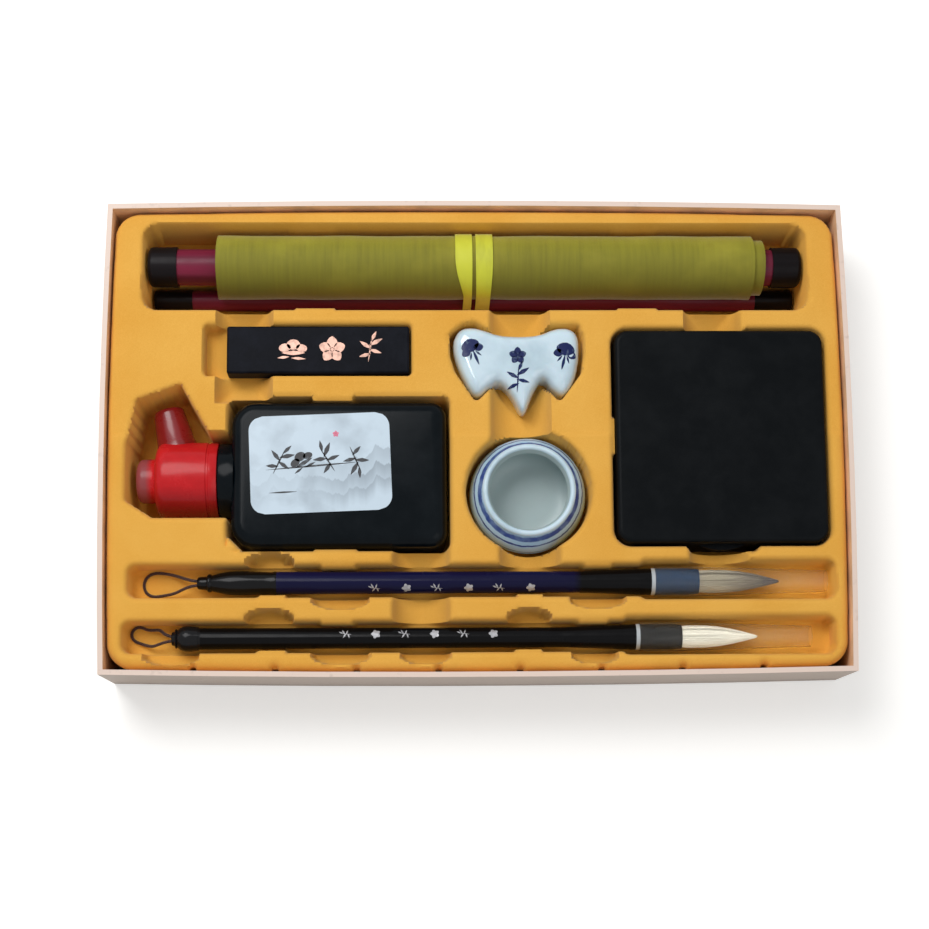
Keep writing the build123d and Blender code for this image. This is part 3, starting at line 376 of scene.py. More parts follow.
def ringed_glaze(look, middle, lines, belly, wall, neck):
    """The cup's glaze: blue outside, grey-green inside as painted shade, with (height, half width) blue
    rings.

    belly is the outer wall's arc: height and radius of its centre, and its own radius."""
    glaze, colour = glazed(look, "cup_porcelain", 0.2, 0.16)
    across, deep, height = glaze.axes(glaze.moved(middle))
    radius = glaze.hypotenuse(across, deep)
    away = glaze.hypotenuse(glaze.calculate("SUBTRACT", height, belly[0]),
                            glaze.calculate("SUBTRACT", radius, belly[1]))
    outside = glaze.product(glaze.calculate("GREATER_THAN", away, belly[2] - wall / 2),
                            glaze.calculate("GREATER_THAN", radius, neck - wall / 2))
    below = glaze.spread(height, 30.5 * MM, 31.0 * MM, 0.85, 0.0)
    colour = glaze.blend(glaze.product(outside, below), colour, look.cup_blue)
    # painted shade: the inside darker and grey-green
    inside = glaze.calculate("SUBTRACT", 1.0, outside)
    colour = glaze.blend(glaze.product(inside, below), colour, look.inside)
    hand = glaze.spread(glaze.noise(260, 3), 0.3, 0.7, -0.22 * MM, 0.22 * MM)
    height = glaze.calculate("ADD", height, hand)
    strength = glaze.product(outside, glaze.spread(glaze.noise(180, 4), 0.3, 0.55, 0.75, 1.0))
    for level, half in lines:
        apart = glaze.calculate("ABSOLUTE", glaze.calculate("SUBTRACT", height, level))
        band = glaze.spread(apart, half, half * 1.6, 1.0, 0.0)
        colour = glaze.blend(glaze.product(band, strength), colour, look.ring_blue)
    return glaze.colour(colour).material


def gloss_plastic(name, colour, rough, coat, shine=0.5, grain=0.0, shaded=()):
    """Smeared plastic; shaded rows are (axis, low end, high end, colour at the low end), each a painted
    shade or a painted highlight.
    """
    skin = Finish(name, Coat_Weight=coat, Coat_Roughness=0.06, Specular_IOR_Level=shine)
    smears = skin.noise(55, 5, roughness=0.65)
    body = skin.blend(skin.spread(smears, 0.4, 0.75), colour, scaled(colour, 1.25, 0.003))
    for axis, low_end, high_end, other in shaded:
        share = skin.spread(skin.axes()[axis], low_end * MM, high_end * MM, 1.0, 0.0)
        body = skin.blend(share, body, other)
    skin.colour(body).rough(smears, *rough).bump(skin.noise(30, 2), 0.25, 0.25)
    if grain:
        skin.bump(skin.noise(1300, 3), grain, 0.6)
    return skin.material


def washed_label(look, middle, tilt):
    """Label paper with a soft grey wash of far hills."""
    paper = Finish("label_paper", Roughness=0.45, Coat_Weight=0.3, Coat_Roughness=0.2)
    along, across = paper.axes(paper.moved(middle, (0, 0, tilt)))[:2]
    line = paper.node("ShaderNodeCombineXYZ", X=along, Y=0.0, Z=0.0).outputs[0]
    ridges = paper.noise(52.0, 5.0, line)
    side = paper.spread(along, -12 * MM, 20 * MM, 0.25, 1.0)
    colour = look.label
    for crest, depth, strength in ((2, 16, 0.5), (-6, 13, 0.75), (-13, 9, 0.6)):
        ridge = paper.spread(ridges, 0.3, 0.7, (crest - 9) * MM, (crest + 9) * MM)
        under = paper.calculate("SUBTRACT", ridge, across)
        hill = paper.product(paper.spread(under, 0.0, 0.8 * MM),
                             paper.spread(under, 0.0, depth * MM, strength, 0.0))
        colour = paper.blend(paper.product(hill, side), colour, look.wash)
    mist = paper.product(paper.spread(paper.noise(55, 4), 0.5, 0.75), 0.45)
    paper.colour(paper.blend(mist, colour, look.wash))
    return paper.bump(paper.noise(900, 3), 0.02, 0.4).material


def slate(look):
    stone = Finish("slab_stone", Roughness=0.55)
    veins = stone.noise(50, 6, stone.moved(stretch=(0.6, 1, 1)), 0.65)
    stone.colour(stone.blend(stone.spread(veins, 0.45, 0.75), look.stone, scaled(look.stone, 1.9)))
    return stone.bump(stone.noise(800, 4), 0.05, 0.5).bump(veins, 0.2, 0.3).material


def shaft_lacquer(look, navy_until):
    """Navy lacquer up to a place along X, black beyond it."""
    skin = Finish("navy_lacquer", Coat_Weight=0.03, Coat_Roughness=0.08, Specular_IOR_Level=0.07)
    streaks = skin.noise(70, 5, skin.moved(stretch=(0.06, 1, 1)))
    navy = skin.blend(skin.spread(streaks, 0.4, 0.7, 0, 0.5), look.navy, look.black)
    beyond = skin.spread(skin.axes()["X"], navy_until * MM, (navy_until + 4) * MM)
    skin.colour(skin.blend(beyond, navy, look.black)).rough(skin.noise(140, 4), 0.16, 0.28)
    return skin.bump(streaks, 0.04, 0.3).material


def brush_hair(name, root, tip, start, end, middle):
    """Hair that runs from its root's colour to its tip's along X, with fine streaks."""
    hair = Finish(name, Roughness=0.5, Sheen_Weight=0.15, Specular_IOR_Level=0.35)
    strands = hair.noise(1600, 3, hair.moved(middle, stretch=(0.03, 1, 1)))
    share = hair.calculate("ADD", hair.spread(hair.axes()["X"], start, end),
                           hair.spread(strands, 0.3, 0.7, -0.18, 0.18))
    colour = hair.blend(hair.spread(share, 0.25, 0.95), root, tip)
    hair.colour(hair.blend(hair.spread(strands, 0.55, 0.75, 0, 0.4), colour, scaled(root, 0.8)))
    return hair.bump(strands, 0.08, 0.6).material


def braided(look):
    cord = Finish("hanging_cord", Roughness=0.75, Sheen_Weight=0.2)
    along, across = cord.axes(cord.node("ShaderNodeTexCoord").outputs["UV"])[:2]
    ply = cord.calculate("SINE", cord.calculate("ADD", cord.product(along, 260.0),
                                                cord.product(across, 12.6)))
    cord.colour(cord.blend(cord.spread(ply, -1, 1, 0.0, 0.8), look.cord, scaled(look.cord, 0.45)))
    return cord.bump(ply, 0.18, 0.8).material


def clear_plastic(look):
    skin = Finish("clear_plastic", Base_Color=list(look.sleeve), Transmission_Weight=0.985, IOR=1.15,
                  Roughness=0.1, Specular_IOR_Level=0.2)
    return skin.bump(skin.noise(45, 3, skin.moved(stretch=(0.4, 1, 1))), 0.12, 0.3).material


# ---------------------------------------------------------------- making pieces
def metres(*sizes):
    return tuple(length * MM for length in sizes)


def clear_selection():
    leave_edit()
    bpy.ops.object.select_all(action="DESELECT")


def only(piece):
    clear_selection()
    piece.select_set(True)
    bpy.context.view_layer.objects.active = piece


def edit(piece, *kind):
    """Edit mode with all of a piece selected, by vertices, or by the kind of part given."""
    only(piece)
    bpy.ops.object.mode_set(mode="EDIT")
    for part in kind:
        bpy.ops.mesh.select_mode(type=part)
    bpy.ops.mesh.select_all(action="SELECT")


def leave_edit():
    if bpy.context.mode != "OBJECT":
        bpy.ops.object.mode_set(mode="OBJECT")


def set_places(piece):
    """The piece's own place, turn and size go into its mesh."""
    only(piece)
    bpy.ops.object.transform_apply(location=True, rotation=True, scale=True)


def modify(piece, kind, **settings):
    only(piece)
    modifier = piece.modifiers.new(kind.lower(), kind)
    for setting, value in settings.items():
        setattr(modifier, setting, value)
    bpy.ops.object.modifier_apply(modifier=modifier.name)


def face_out(piece, merge=0.0):
    edit(piece)
    if merge:
        bpy.ops.mesh.remove_doubles(threshold=merge)
    bpy.ops.mesh.normals_make_consistent(inside=False)
    leave_edit()


def thicken(piece, thickness):
    """Gives a sheet a thickness above its face."""
    modify(piece, "SOLIDIFY", thickness=thickness * MM, offset=1.0)
    face_out(piece)


def joined(pieces, name):
    clear_selection()
    for piece in pieces:
        piece.select_set(True)
    bpy.context.view_layer.objects.active = pieces[0]
    if len(pieces) > 1:
        bpy.ops.object.join()
    pieces[0].name = name
    return pieces[0]


def done(piece, name, body, slot, material, smooth=35, stands_for=()):
    """Names, smooths, colours and seats a finished piece."""
    piece.name = name
    piece.data.name = name
    if smooth:
        only(piece)
        bpy.ops.object.shade_smooth_by_angle(angle=math.radians(smooth))
    piece.data.materials.clear()
    piece.data.materials.append(material)
    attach(piece, body)
    if stands_for:
        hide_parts(*stands_for)


def coat(material, *nodes):
    """Gives a finish to CAD nodes that stay."""
    for name in nodes:
        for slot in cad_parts[name].material_slots:
            slot.material = material


def read_points(piece):
    points = np.empty(len(piece.data.vertices) * 3)
    piece.data.vertices.foreach_get("co", points)
    return points.reshape(-1, 3)


def write_points(piece, points):
    piece.data.vertices.foreach_set("co", np.asarray(points, float).ravel())
    piece.data.update()


def turned(axis, middle, stations, segments=64):
    """A closed turned form: a disc drawn out along an axis through (place, radius) stations."""
    way = Vector((1, 0, 0)) if axis == "X" else Vector((0, 0, 1))
    turn = (0, math.pi / 2, 0) if axis == "X" else (0, 0, 0)
    middle = Vector(metres(*middle))
    stations = [metres(*station) for station in stations]
    place, radius = stations[0]
    clear_selection()
    bpy.ops.mesh.primitive_circle_add(vertices=segments, radius=radius, fill_type="NGON",
                                      location=middle + way * place, rotation=turn)
    piece = bpy.context.object
    set_places(piece)
    edit(piece)
    for (start, first), (end, second) in zip(stations, stations[1:]):
        bpy.ops.mesh.extrude_region_move(TRANSFORM_OT_translate={"value": way * (end - start)})
        share = second / first
        by = (1, share, share) if axis == "X" else (share, share, 1)
        bpy.ops.transform.resize(value=by, center_override=middle + way * end)
    face_out(piece)
    return piece


def spun(x, y, angle):
    """Places turned round the origin by an angle."""
    return x * math.cos(angle) - y * math.sin(angle), x * math.sin(angle) + y * math.cos(angle)


def leaf(x, y, length, width, turn, point=1.0):
    """A flat leaf or petal, drawn in to its tips by point (0 is an oval)."""
    clear_selection()
    bpy.ops.mesh.primitive_circle_add(vertices=14, radius=1.0, fill_type="NGON")
    piece = bpy.context.object
    points = read_points(piece)
    points[:, 1] *= (1 - np.abs(points[:, 0])) ** (0.5 * point) if point else 1
    turned_x, turned_y = spun(points[:, 0] * length / 2, points[:, 1] * width / 2, math.radians(turn))
    points[:, 0] = turned_x + x
    points[:, 1] = turned_y + y
    write_points(piece, points * MM)
    return piece


def drawing(shapes, scale=1.0, origin=(0, 0), turn=0.0):
    """Leaves from (x, y, length, width, turn, point) rows, scaled and turned round an origin."""
    made = []
    for x, y, length, width, way, point in shapes:
        across, deep = spun(x * scale, y * scale, math.radians(turn))
        made.append(leaf(across + origin[0], deep + origin[1], length * scale, width * scale,
                         way + turn, point))
    return made


BLOSSOM = [(2.1 * math.cos(a), 2.1 * math.sin(a), 3.4, 3.0, math.degrees(a), 0.35)
           for a in (math.radians(18 + 72 * i) for i in range(5))] + [(0, 0, 1.3, 1.3, 0, 0)]
SPRIG = [(0, 0, 9.0, 0.5, 82, 0.3), (1.9, 2.6, 5.2, 1.5, 28, 1), (-1.6, 1.6, 4.8, 1.4, 146, 1),
         (1.7, -0.6, 4.6, 1.3, -18, 1), (-1.7, -2.0, 4.2, 1.3, 196, 1), (1.2, 4.6, 4.0, 1.2, 62, 1)]
CLOUD = [(-2.2, 0.5, 3.4, 2.4, 10, 0), (0.2, 1.4, 3.8, 3.0, 0, 0), (2.5, 0.4, 3.2, 2.2, -12, 0),
         (0.2, -1.0, 6.6, 1.3, 0, 0.8), (-2.6, -2.3, 3.4, 0.8, 6, 1), (1.6, -2.6, 4.2, 0.8, -4, 1)]
PLUM_TREE = [(0, 1.6, 4.4, 3.2, 0, 0.2), (-1.5, 0.4, 2.4, 2.0, 20, 0.3),
             (1.6, 0.5, 2.4, 2.0, -20, 0.3), (0.1, -1.6, 3.8, 0.7, 88, 0.5),
             (-0.9, -0.9, 2.0, 0.5, 60, 1), (1.0, -0.8, 2.0, 0.5, 118, 1)]


def laid_on(shapes, surface, thickness, fine=False):
    """Joins flat shapes, lays them on a surface and gives them a thickness."""
    piece = joined(shapes, "shapes")
    if fine:
        modify(piece, "TRIANGULATE")
    write_points(piece, np.column_stack(surface(*(read_points(piece)[:, :2] / MM).T)) * MM)
    thicken(piece, thickness)
    return piece


def wound(columns, rows, place):
    """A grid laid out by place(across share, along share) arrays, as a band or a roll is."""
    clear_selection()
    bpy.ops.mesh.primitive_grid_add(x_subdivisions=columns, y_subdivisions=rows, size=1)
    piece = bpy.context.object
    points = read_points(piece)
    write_points(piece, np.column_stack(place(points[:, 0] + 0.5, points[:, 1] + 0.5)) * MM)
    return piece


# ---------------------------------------------------------------- formed surfaces
def corner_distance(across, deep, corner):
    """Distance outside a corner's quarter round, from how far each side is passed."""
    across, deep = across + corner, deep + corner
    return (np.hypot(np.maximum(across, 0), np.maximum(deep, 0))
            + np.minimum(np.maximum(across, deep), 0) - corner)


def box_distance(x, y, middle, length, width, corner):
    """Distance outside a rounded rectangle."""
    return corner_distance(np.abs(x - middle[0]) - length / 2, np.abs(y - middle[1]) - width / 2, corner)


def polygon_distance(x, y, corners):
    """Distance outside a polygon."""
    nearest = np.full(x.shape, 1e9)
    inside = np.zeros(x.shape, bool)
    for (x1, y1), (x2, y2) in zip(corners, [*corners[1:], corners[0]]):
        way_x, way_y = x2 - x1, y2 - y1
        share = np.clip(((x - x1) * way_x + (y - y1) * way_y) / (way_x ** 2 + way_y ** 2), 0, 1)
        nearest = np.minimum(nearest, np.hypot(x - x1 - share * way_x, y - y1 - share * way_y))
        if y1 != y2:
            inside ^= ((y1 > y) != (y2 > y)) & (x < way_x * (y - y1) / way_y + x1)
    return np.where(inside, -nearest, nearest)


def without(distance, cut):
    """What is left of a form when another is taken out of it."""
    return np.maximum(distance, -cut)


def arc_drop(depth, radius):
    """How far a rounded edge has dropped, by how far it is passed."""
    return radius - np.sqrt(np.maximum(radius ** 2 - np.clip(depth, 0, radius) ** 2, 0))


def rounded_drop(distance, drop, draft, top_round, floor_round):
    """How far a pressed pocket lies below its face, by distance outside its wall line."""
    quarter = np.linspace(0, math.pi / 2, 9)
    top_round = min(top_round, drop * 0.55)
    floor_round = min(floor_round, drop - top_round)
    floor = [(-floor_round * (1 - math.sin(a)), drop - floor_round * (1 - math.cos(a)))
             for a in quarter]
    lip = [(draft + top_round * (1 - math.cos(a)), top_round * (1 - math.sin(a))) for a in quarter]
    places, drops = zip(*floor, *lip)
    return np.interp(distance, places, drops)


def trough_drop(distance, radius, top_round):
    """How far a half-round trough lies below its face."""
    inside = np.clip(-distance, 0, radius)
    bowl = np.sqrt(np.maximum(2 * radius * inside - inside ** 2, 0))
    return np.where(distance < 0, np.maximum(bowl, top_round), arc_drop(top_round - distance, top_round))


def deeper(first, second, softness):
    """The deeper of two drops, blended where both are well below the face."""
    soft = np.clip(np.minimum(first, second), 0, softness) + 1e-6
    near = np.maximum(soft - np.abs(first - second), 0) / soft
    return np.maximum(first, second) + near ** 2 * soft / 4


def drawn_to(x, y, chosen, distance, target, rounds):
    """Moves the chosen points until a distance has its target there."""
    step = 0.02
    for _ in range(rounds):
        here_x, here_y = x[chosen], y[chosen]
        away = distance(here_x, here_y)
        slope_x = (distance(here_x + step, here_y) - distance(here_x - step, here_y)) / (2 * step)
        slope_y = (distance(here_x, here_y + step) - distance(here_x, here_y - step)) / (2 * step)
        steep = np.maximum(np.hypot(slope_x, slope_y), 0.3)
        x[chosen] += (target - away) * slope_x / steep ** 2
        y[chosen] += (target - away) * slope_y / steep ** 2


def beside_change(mask):
    """The points of a grid's mask that differ from a point beside, before or behind them."""
    found = np.zeros(mask.shape, bool)
    for rows, values in ((found, mask), (found.T, mask.T)):
        change = values[1:] != values[:-1]
        rows[:-1] |= change
        rows[1:] |= change
    return found


def widened(mask):
    """A grid's mask with the eight points round each of its own."""
    rows, columns = mask.shape
    padded = np.pad(mask, 1)
    return np.logical_or.reduce([padded[down:down + rows, side:side + columns]
                                 for down in range(3) for side in range(3)])


def pressed_sheet(half_x, half_y, pitch, outline, surface, walls=None, draft=0.0):
    """A grid cut to an outline, its points drawn to any walls, at the surface's heights."""
    columns = int(2 * half_x / pitch) + 1
    rows = int(2 * half_y / pitch) + 1
    clear_selection()
    bpy.ops.mesh.primitive_grid_add(x_subdivisions=columns - 1, y_subdivisions=rows - 1, size=2)
    piece = bpy.context.object
    points = read_points(piece)
    order = np.lexsort((np.round(points[:, 0], 6), np.round(points[:, 1], 6)))
    grid_x, grid_y = points[order, 0] * half_x, points[order, 1] * half_y
    shape = (rows, columns)
    if walls:
        beyond = walls(grid_x, grid_y) > draft / 2
        near_wall = beside_change(beyond.reshape(shape)).ravel()
        drawn_to(grid_x, grid_y, near_wall, walls, np.where(beyond, draft, 0.0)[near_wall], 3)
    outside = outline(grid_x, grid_y) > 0
    near = widened(~outside.reshape(shape)).ravel()
    drawn_to(grid_x, grid_y, outside & near, outline, 0.0, 4)
    gone = np.zeros(len(points), bool)
    gone[order] = outside & ~near
    points[order, 0], points[order, 1] = grid_x, grid_y
    points[:, 2] = surface(points[:, 0], points[:, 1])
    write_points(piece, points * MM)
    only(piece)
    bpy.context.tool_settings.mesh_select_mode = (True, False, False)
    for parts in (piece.data.polygons, piece.data.edges):
        parts.foreach_set("select", np.zeros(len(parts), bool))
    piece.data.vertices.foreach_set("select", gone)
    bpy.ops.object.mode_set(mode="EDIT")
    bpy.ops.mesh.delete(type="VERT")
    leave_edit()
    return piece


def edge_down(piece, floor):
    """Draws a sheet's open edge straight down to a level floor."""
    edit(piece, "EDGE")
    bpy.ops.mesh.region_to_loop()
    bpy.ops.mesh.extrude_edges_move(TRANSFORM_OT_translate={"value": (0, 0, -MM)})
    bpy.ops.transform.resize(value=(1, 1, 0), center_override=(0, 0, floor * MM))
    leave_edit()


def bridge_edges(piece):
    edit(piece, "EDGE")
    bpy.ops.mesh.select_all(action="DESELECT")
    bpy.ops.mesh.select_non_manifold(extend=False, use_wire=False, use_boundary=True,
                                     use_multi_face=False, use_non_contiguous=False, use_verts=False)
    bpy.ops.mesh.bridge_edge_loops()
    leave_edit()


def low(node, axis):
    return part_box(node)[0][axis] / MM


def high(node, axis):
    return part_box(node)[1][axis] / MM


def middle(node, axis):
    return (low(node, axis) + high(node, axis)) / 2


def half_width(node):
    return (high(node, 1) - low(node, 1)) / 2


# ---------------------------------------------------------------- stage
# lamps: name, place in metres, share of the key light's power, width
LAMPS = (("key", (-0.45, 0.55, 1.15), 1.0, 0.7), ("fill", (0.7, -0.5, 1.2), 0.25, 0.9))


class SETBOX_OT_stage(bpy.types.Operator):
    """Floor, soft light, white background and the camera"""
    bl_idname = "setbox.stage"
    bl_label = "Stage"

    def execute(self, context):
        look, scene = context.scene.setbox_stage, context.scene
        lens = bpy.data.cameras.new("Camera")
        lens.lens = look.lens
        lens.sensor_width = 36.0
        lens.shift_y = look.lens_rise
        lens.clip_start = 0.01
        camera = bpy.data.objects.new("Camera", lens)
        camera.location = look.camera_place
        camera.rotation_euler = look.camera_turn
        scene.collection.objects.link(camera)
        scene.camera = camera
        self.floor(look)

        world = bpy.data.worlds.new("World")
        world.use_nodes = True
        scene.world = world
        nodes, links = world.node_tree.nodes, world.node_tree.links
        background = nodes["Background"]
        background.inputs["Color"].default_value = (1, 1, 1, 1)
        links.new(self.seen_rays(nodes, links, 1.0, look.sky_light), background.inputs["Strength"])
        for name, place, share, width in LAMPS:
            light = bpy.data.lights.new(name, "AREA")
            light.shape = "SQUARE"
            light.size = width
            light.energy = look.key_light * share
            lamp = bpy.data.objects.new(name, light)
            lamp.location = place
            lamp.rotation_mode = "QUATERNION"
            lamp.rotation_quaternion = Vector(place).to_track_quat("Z", "Y")
            scene.collection.objects.link(lamp)
        scene.view_settings.view_transform = "Standard"
        return {"FINISHED"}

    def floor(self, look):
        """A matt floor that glows a little where it is seen."""
        clear_selection()
        bpy.ops.mesh.primitive_plane_add(size=12, location=(0, 0, 0))
        floor = bpy.context.object
        floor.name = "floor"
        set_places(floor)
        ground = bpy.data.materials.new("floor")
        ground.use_nodes = True
        nodes, links = ground.node_tree.nodes, ground.node_tree.links
        nodes.remove(nodes["Principled BSDF"])
        matt = nodes.new("ShaderNodeBsdfDiffuse")
        matt.inputs["Color"].default_value = look.floor
        glow = nodes.new("ShaderNodeEmission")
        both = nodes.new("ShaderNodeAddShader")
        links.new(self.seen_rays(nodes, links, look.floor_glow, 0.0), glow.inputs["Strength"])
        links.new(matt.outputs[0], both.inputs[0])
        links.new(glow.outputs[0], both.inputs[1])
        links.new(both.outputs[0], nodes["Material Output"].inputs["Surface"])
        floor.data.materials.append(ground)

    @staticmethod
    def seen_rays(nodes, links, seen, unseen):
        """One strength for rays that show the background, another for its light."""
        rays = nodes.new("ShaderNodeLightPath")
        total = rays.outputs["Is Camera Ray"]
        for word in ("Is Glossy Ray", "Is Transmission Ray"):
            both = nodes.new("ShaderNodeMath")
            both.operation = "MAXIMUM"
            links.new(total, both.inputs[0])
            links.new(rays.outputs[word], both.inputs[1])
            total = both.outputs[0]
        pick = nodes.new("ShaderNodeMapRange")
        links.new(total, pick.inputs["Value"])
        pick.inputs["To Min"].default_value = unseen
        pick.inputs["To Max"].default_value = seen
        return pick.outputs[0]


# ---------------------------------------------------------------- hanging loops
LARGE_LOOP = [(0, 0.9, 0), (-5.2, 0.9, 0), (-10.4, 2.4, -1.0), (-15.4, 4.3, -2.7), (-20.7, 5.6, -4.6),
              (-26.1, 6.0, -6.0), (-29.8, 4.0, -6.6), (-31.2, 0.0, -6.6), (-29.8, -4.0, -6.6),
              (-26.1, -6.0, -5.9), (-20.5, -5.4, -4.5), (-15.1, -4.6, -2.7), (-10.1, -2.2, -1.0),
              (-5.0, -0.9, 0), (0, -0.9, 0)]
SMALL_LOOP = [(0, 0.9, 0), (-3.8, 0.9, 0), (-7.6, 2.3, -1.2), (-10.3, 5.0, -2.9), (-15.9, 4.6, -4.5),
              (-19.8, 6.6, -5.6), (-23.1, 5.9, -6.2), (-24.7, 3.0, -6.4), (-23.4, -0.2, -6.3),
              (-19.0, -1.9, -5.7), (-16.5, -2.7, -4.6), (-13.6, -3.4, -3.2), (-9.4, -2.0, -1.5),
              (-4.7, -0.9, 0), (0, -0.9, 0)]


class SETBOX_OT_loops(bpy.types.Operator):
    """Braided hanging loops, knotted inside the brushes' tails"""
    bl_idname = "setbox.loops"
    bl_label = "Hanging loops"

    def execute(self, context):
        material = braided(context.scene.setbox_brushes)
        for brush, route, length in (("large_brush", LARGE_LOOP, 71.5), ("small_brush", SMALL_LOOP, 57.2)):
            tail = f"{brush}_tail"
            start = Vector((low(tail, 0) + 4.0, middle(tail, 1), middle(tail, 2)))
            curve = bpy.data.curves.new(f"{brush}_cord", "CURVE")
            curve.dimensions = "3D"
            spline = curve.splines.new("NURBS")
            spline.points.add(len(route) - 1)
            for point, place in zip(spline.points, route):
                point.co = [*((start + Vector(place)) * MM), 1]
            spline.order_u = 3
            spline.use_endpoint_u = True
            spline.resolution_u = 12
            curve.bevel_depth = 0.75 * MM
            curve.bevel_resolution = 3
            curve.use_fill_caps = True
            cord = bpy.data.objects.new(f"{brush}_cord", curve)
            context.scene.collection.objects.link(cord)
            done(cord, f"{brush}_cord", brush, "hanging_cord", material, 0, [f"{brush}_loop"])
            (start + Vector(route[0])) * MM
        return {"FINISHED"}


# ---------------------------------------------------------------- box
class SETBOX_OT_box(bpy.types.Operator):
    """Card box: finishes of its boards, covering and lining"""
    bl_idname = "setbox.box"
    bl_label = "Box"

    def execute(self, context):
        look = context.scene.setbox_box
        coat(covering_paper(look), "box_wrap", "base_sheet")
        # lining colour partly the paper's tan, partly painted light in the shaded gap
        coat(plain_paper("lining_paper", look.lining, scaled(look.lining, 0.7)), "box_lining")
        coat(plain_paper("greyboard", look.board, scaled(look.board, 0.75)),
             "floor_board", "front_wall", "rear_wall", "left_wall", "right_wall")
        return {"FINISHED"}


# ---------------------------------------------------------------- tray
# boxes: (middle, length, width, corner radius)
ROLL_POCKET = ((0, 86.05), 329.2, 42.7, 7.0)
STICK_POCKET = ((-83.45, 43.55), 101.1, 24.9, 1.6)
BOTTLE_POCKET = ((-68.0, -18.35), 107.6, 76.1, 4.0)
CASE_POCKET = ((119.55, -0.2), 105.5, 108.6, 8.0)
CASE_LUG_BAY = ((119.55, -54.5), 34.0, 5.2, 2.3)
LARGE_POCKET = [((2.1, -71.6), 342.4, 14.8, 4.0), ((125.6, -71.6), 95.4, 17.8, 4.0)]
SMALL_POCKET = [((0.6, -98.8), 343.9, 14.2, 4.0), ((120.9, -98.8), 103.3, 17.2, 4.0)]
ROD_GROOVE = ((0, 78.26), 329.2, 13.4, 3.0)
RIBBON_RELIEF = ((-1.1, 86.6), 21.9, 16.7, 3.0)
CUP_MIDDLE, CUP_RADIUS = (24.8, -27.4), 30.2
CAP_RECESS = [(-120.5, -39.7), (-158.2, -39.7), (-171.0, -31.4), (-171.0, -4.9), (-166.4, 18.1),
              (-145.9, 25.6), (-132.2, 1.9), (-120.5, 1.9)]
SHOULDER = [(-123.0, -57.5), (-123.0, -47.5), (-113.0, -57.5)]
# the rest and its pocket, as shares of the rest's half length and width
REST_PLACE = (19.4, 56.0)
REST_HALF = (31.7, 43.6)
REST_POINTS = [(-0.98, -0.12), (-0.80, -0.02), (-0.66, 0.0), (-0.42, -0.11), (0.40, -0.11), (0.54, -0.03),
               (0.94, -0.03), (1.0, -0.14), (1.0, -0.33), (0.96, -0.53), (0.67, -0.82), (0.40, -0.60),
               (0.08, -1.0), (-0.35, -0.62), (-0.62, -0.82), (-0.90, -0.52), (-0.97, -0.35)]
REST_SHAPE = [(-1.0, -0.16), (-0.9, -0.035), (-0.72, 0.0), (-0.51, -0.03), (-0.23, -0.11), (0.33, -0.11),
              (0.6, -0.012), (0.87, -0.015), (1.0, -0.12), (1.0, -0.37), (0.94, -0.6), (0.83, -0.77),
              (0.7, -0.83), (0.57, -0.76), (0.425, -0.59), (0.27, -0.77), (0.16, -0.99), (0.09, -1.02),
              (0.02, -0.98), (-0.1, -0.79), (-0.28, -0.65), (-0.44, -0.75), (-0.57, -0.84), (-0.71, -0.81),
              (-0.87, -0.58), (-0.99, -0.34)]
REST_RECESS = [(REST_PLACE[0] + REST_HALF[0] * x, REST_PLACE[1] + REST_HALF[1] * y) for x, y in REST_POINTS]
# retaining tabs: (x, y, length, depth into the pocket), along X and along Y
TABS = [(-82, 107.4, 20.5, 0.9), (80, 107.4, 20.5, 0.9), (-80, 64.7, 20.5, 0.9), (80, 64.7, 20.5, 0.9),
        (-71, 19.7, 21.5, 2.2), (-110.6, 19.7, 22.4, 0.9), (-69.7, -56.4, 21.8, 0.9),
        (21.8, 2.8, 22.0, 1.1), (119.5, 54.1, 29.3, 1.3), (-100, -79.0, 15.0, 1.2),
        (24.8, -79.0, 14.5, 1.2), (-68.3, -64.2, 18.0, 1.2), (57.8, -64.2, 15.0, 1.2),
        (-100, -105.9, 15.0, 1.2), (23.9, -105.9, 14.5, 1.2), (-68.8, -91.7, 17.0, 1.2),
        (54.9, -91.7, 16.0, 1.2)]
SIDE_TABS = [(-7.2, -25.0, 13.4, 1.1), (66.8, 0.2, 20.0, 1.2)]
TAB_BOXES = ([((x, y), length, 2 * depth, 0.8 * depth) for x, y, length, depth in TABS]
             + [((x, y), 2 * depth, length, 0.8 * depth) for x, y, length, depth in SIDE_TABS])
# finger notches: (x, pocket edge, half length)
NOTCHES = [(-101.1, -62.7, 11.2), (-67.1, -80.5, 13.5), (57.7, -80.5, 13.4), (-101.4, -90.2, 11.6),
           (24.1, -90.2, 10.4), (-148.2, -107.4, 13.2), (-66.9, -107.4, 13.7), (-25.9, -107.4, 11.8),
           (55.8, -107.4, 10.9)]
NOTCH_HALF_WIDTH, NOTCH_DEPTH = 4.4, 12.6
# finger troughs: (x, rear end, front end, radius)
TROUGHS = [(-114.8, 64.7, 19.7, 13.8), (21.2, 64.7, -27.4, 14.7), (117.0, 64.7, -71.6, 14.2),
           (-28.0, -56.4, -98.8, 13.8), (25.0, -27.4, -71.6, 14.8)]
TRAY_HALF = (178.95, 113.6)
TRAY_CORNER, TRAY_BOW = 12.0, 2.0
FLUTE_PITCH, FLUTE_RADIUS = 39.4, 1.8


def tabbed(x, y, distance):
    """A pocket less the retaining tabs that stand into it."""
    for tab in TAB_BOXES:
        distance = without(distance, box_distance(x, y, *tab))
    return distance


def tabbed_boxes(x, y, *boxes):
    return tabbed(x, y, np.minimum.reduce([box_distance(x, y, *box) for box in boxes]))


def cup_pocket(x, y):
    return tabbed(x, y, np.hypot(x - CUP_MIDDLE[0], y - CUP_MIDDLE[1]) - CUP_RADIUS)


def bottle_pocket(x, y):
    """The bottle's pocket with its filled corner, and the recess for its cap."""
    bottle = without(tabbed_boxes(x, y, BOTTLE_POCKET), polygon_distance(x, y, SHOULDER))
    return np.minimum(bottle, polygon_distance(x, y, CAP_RECESS))


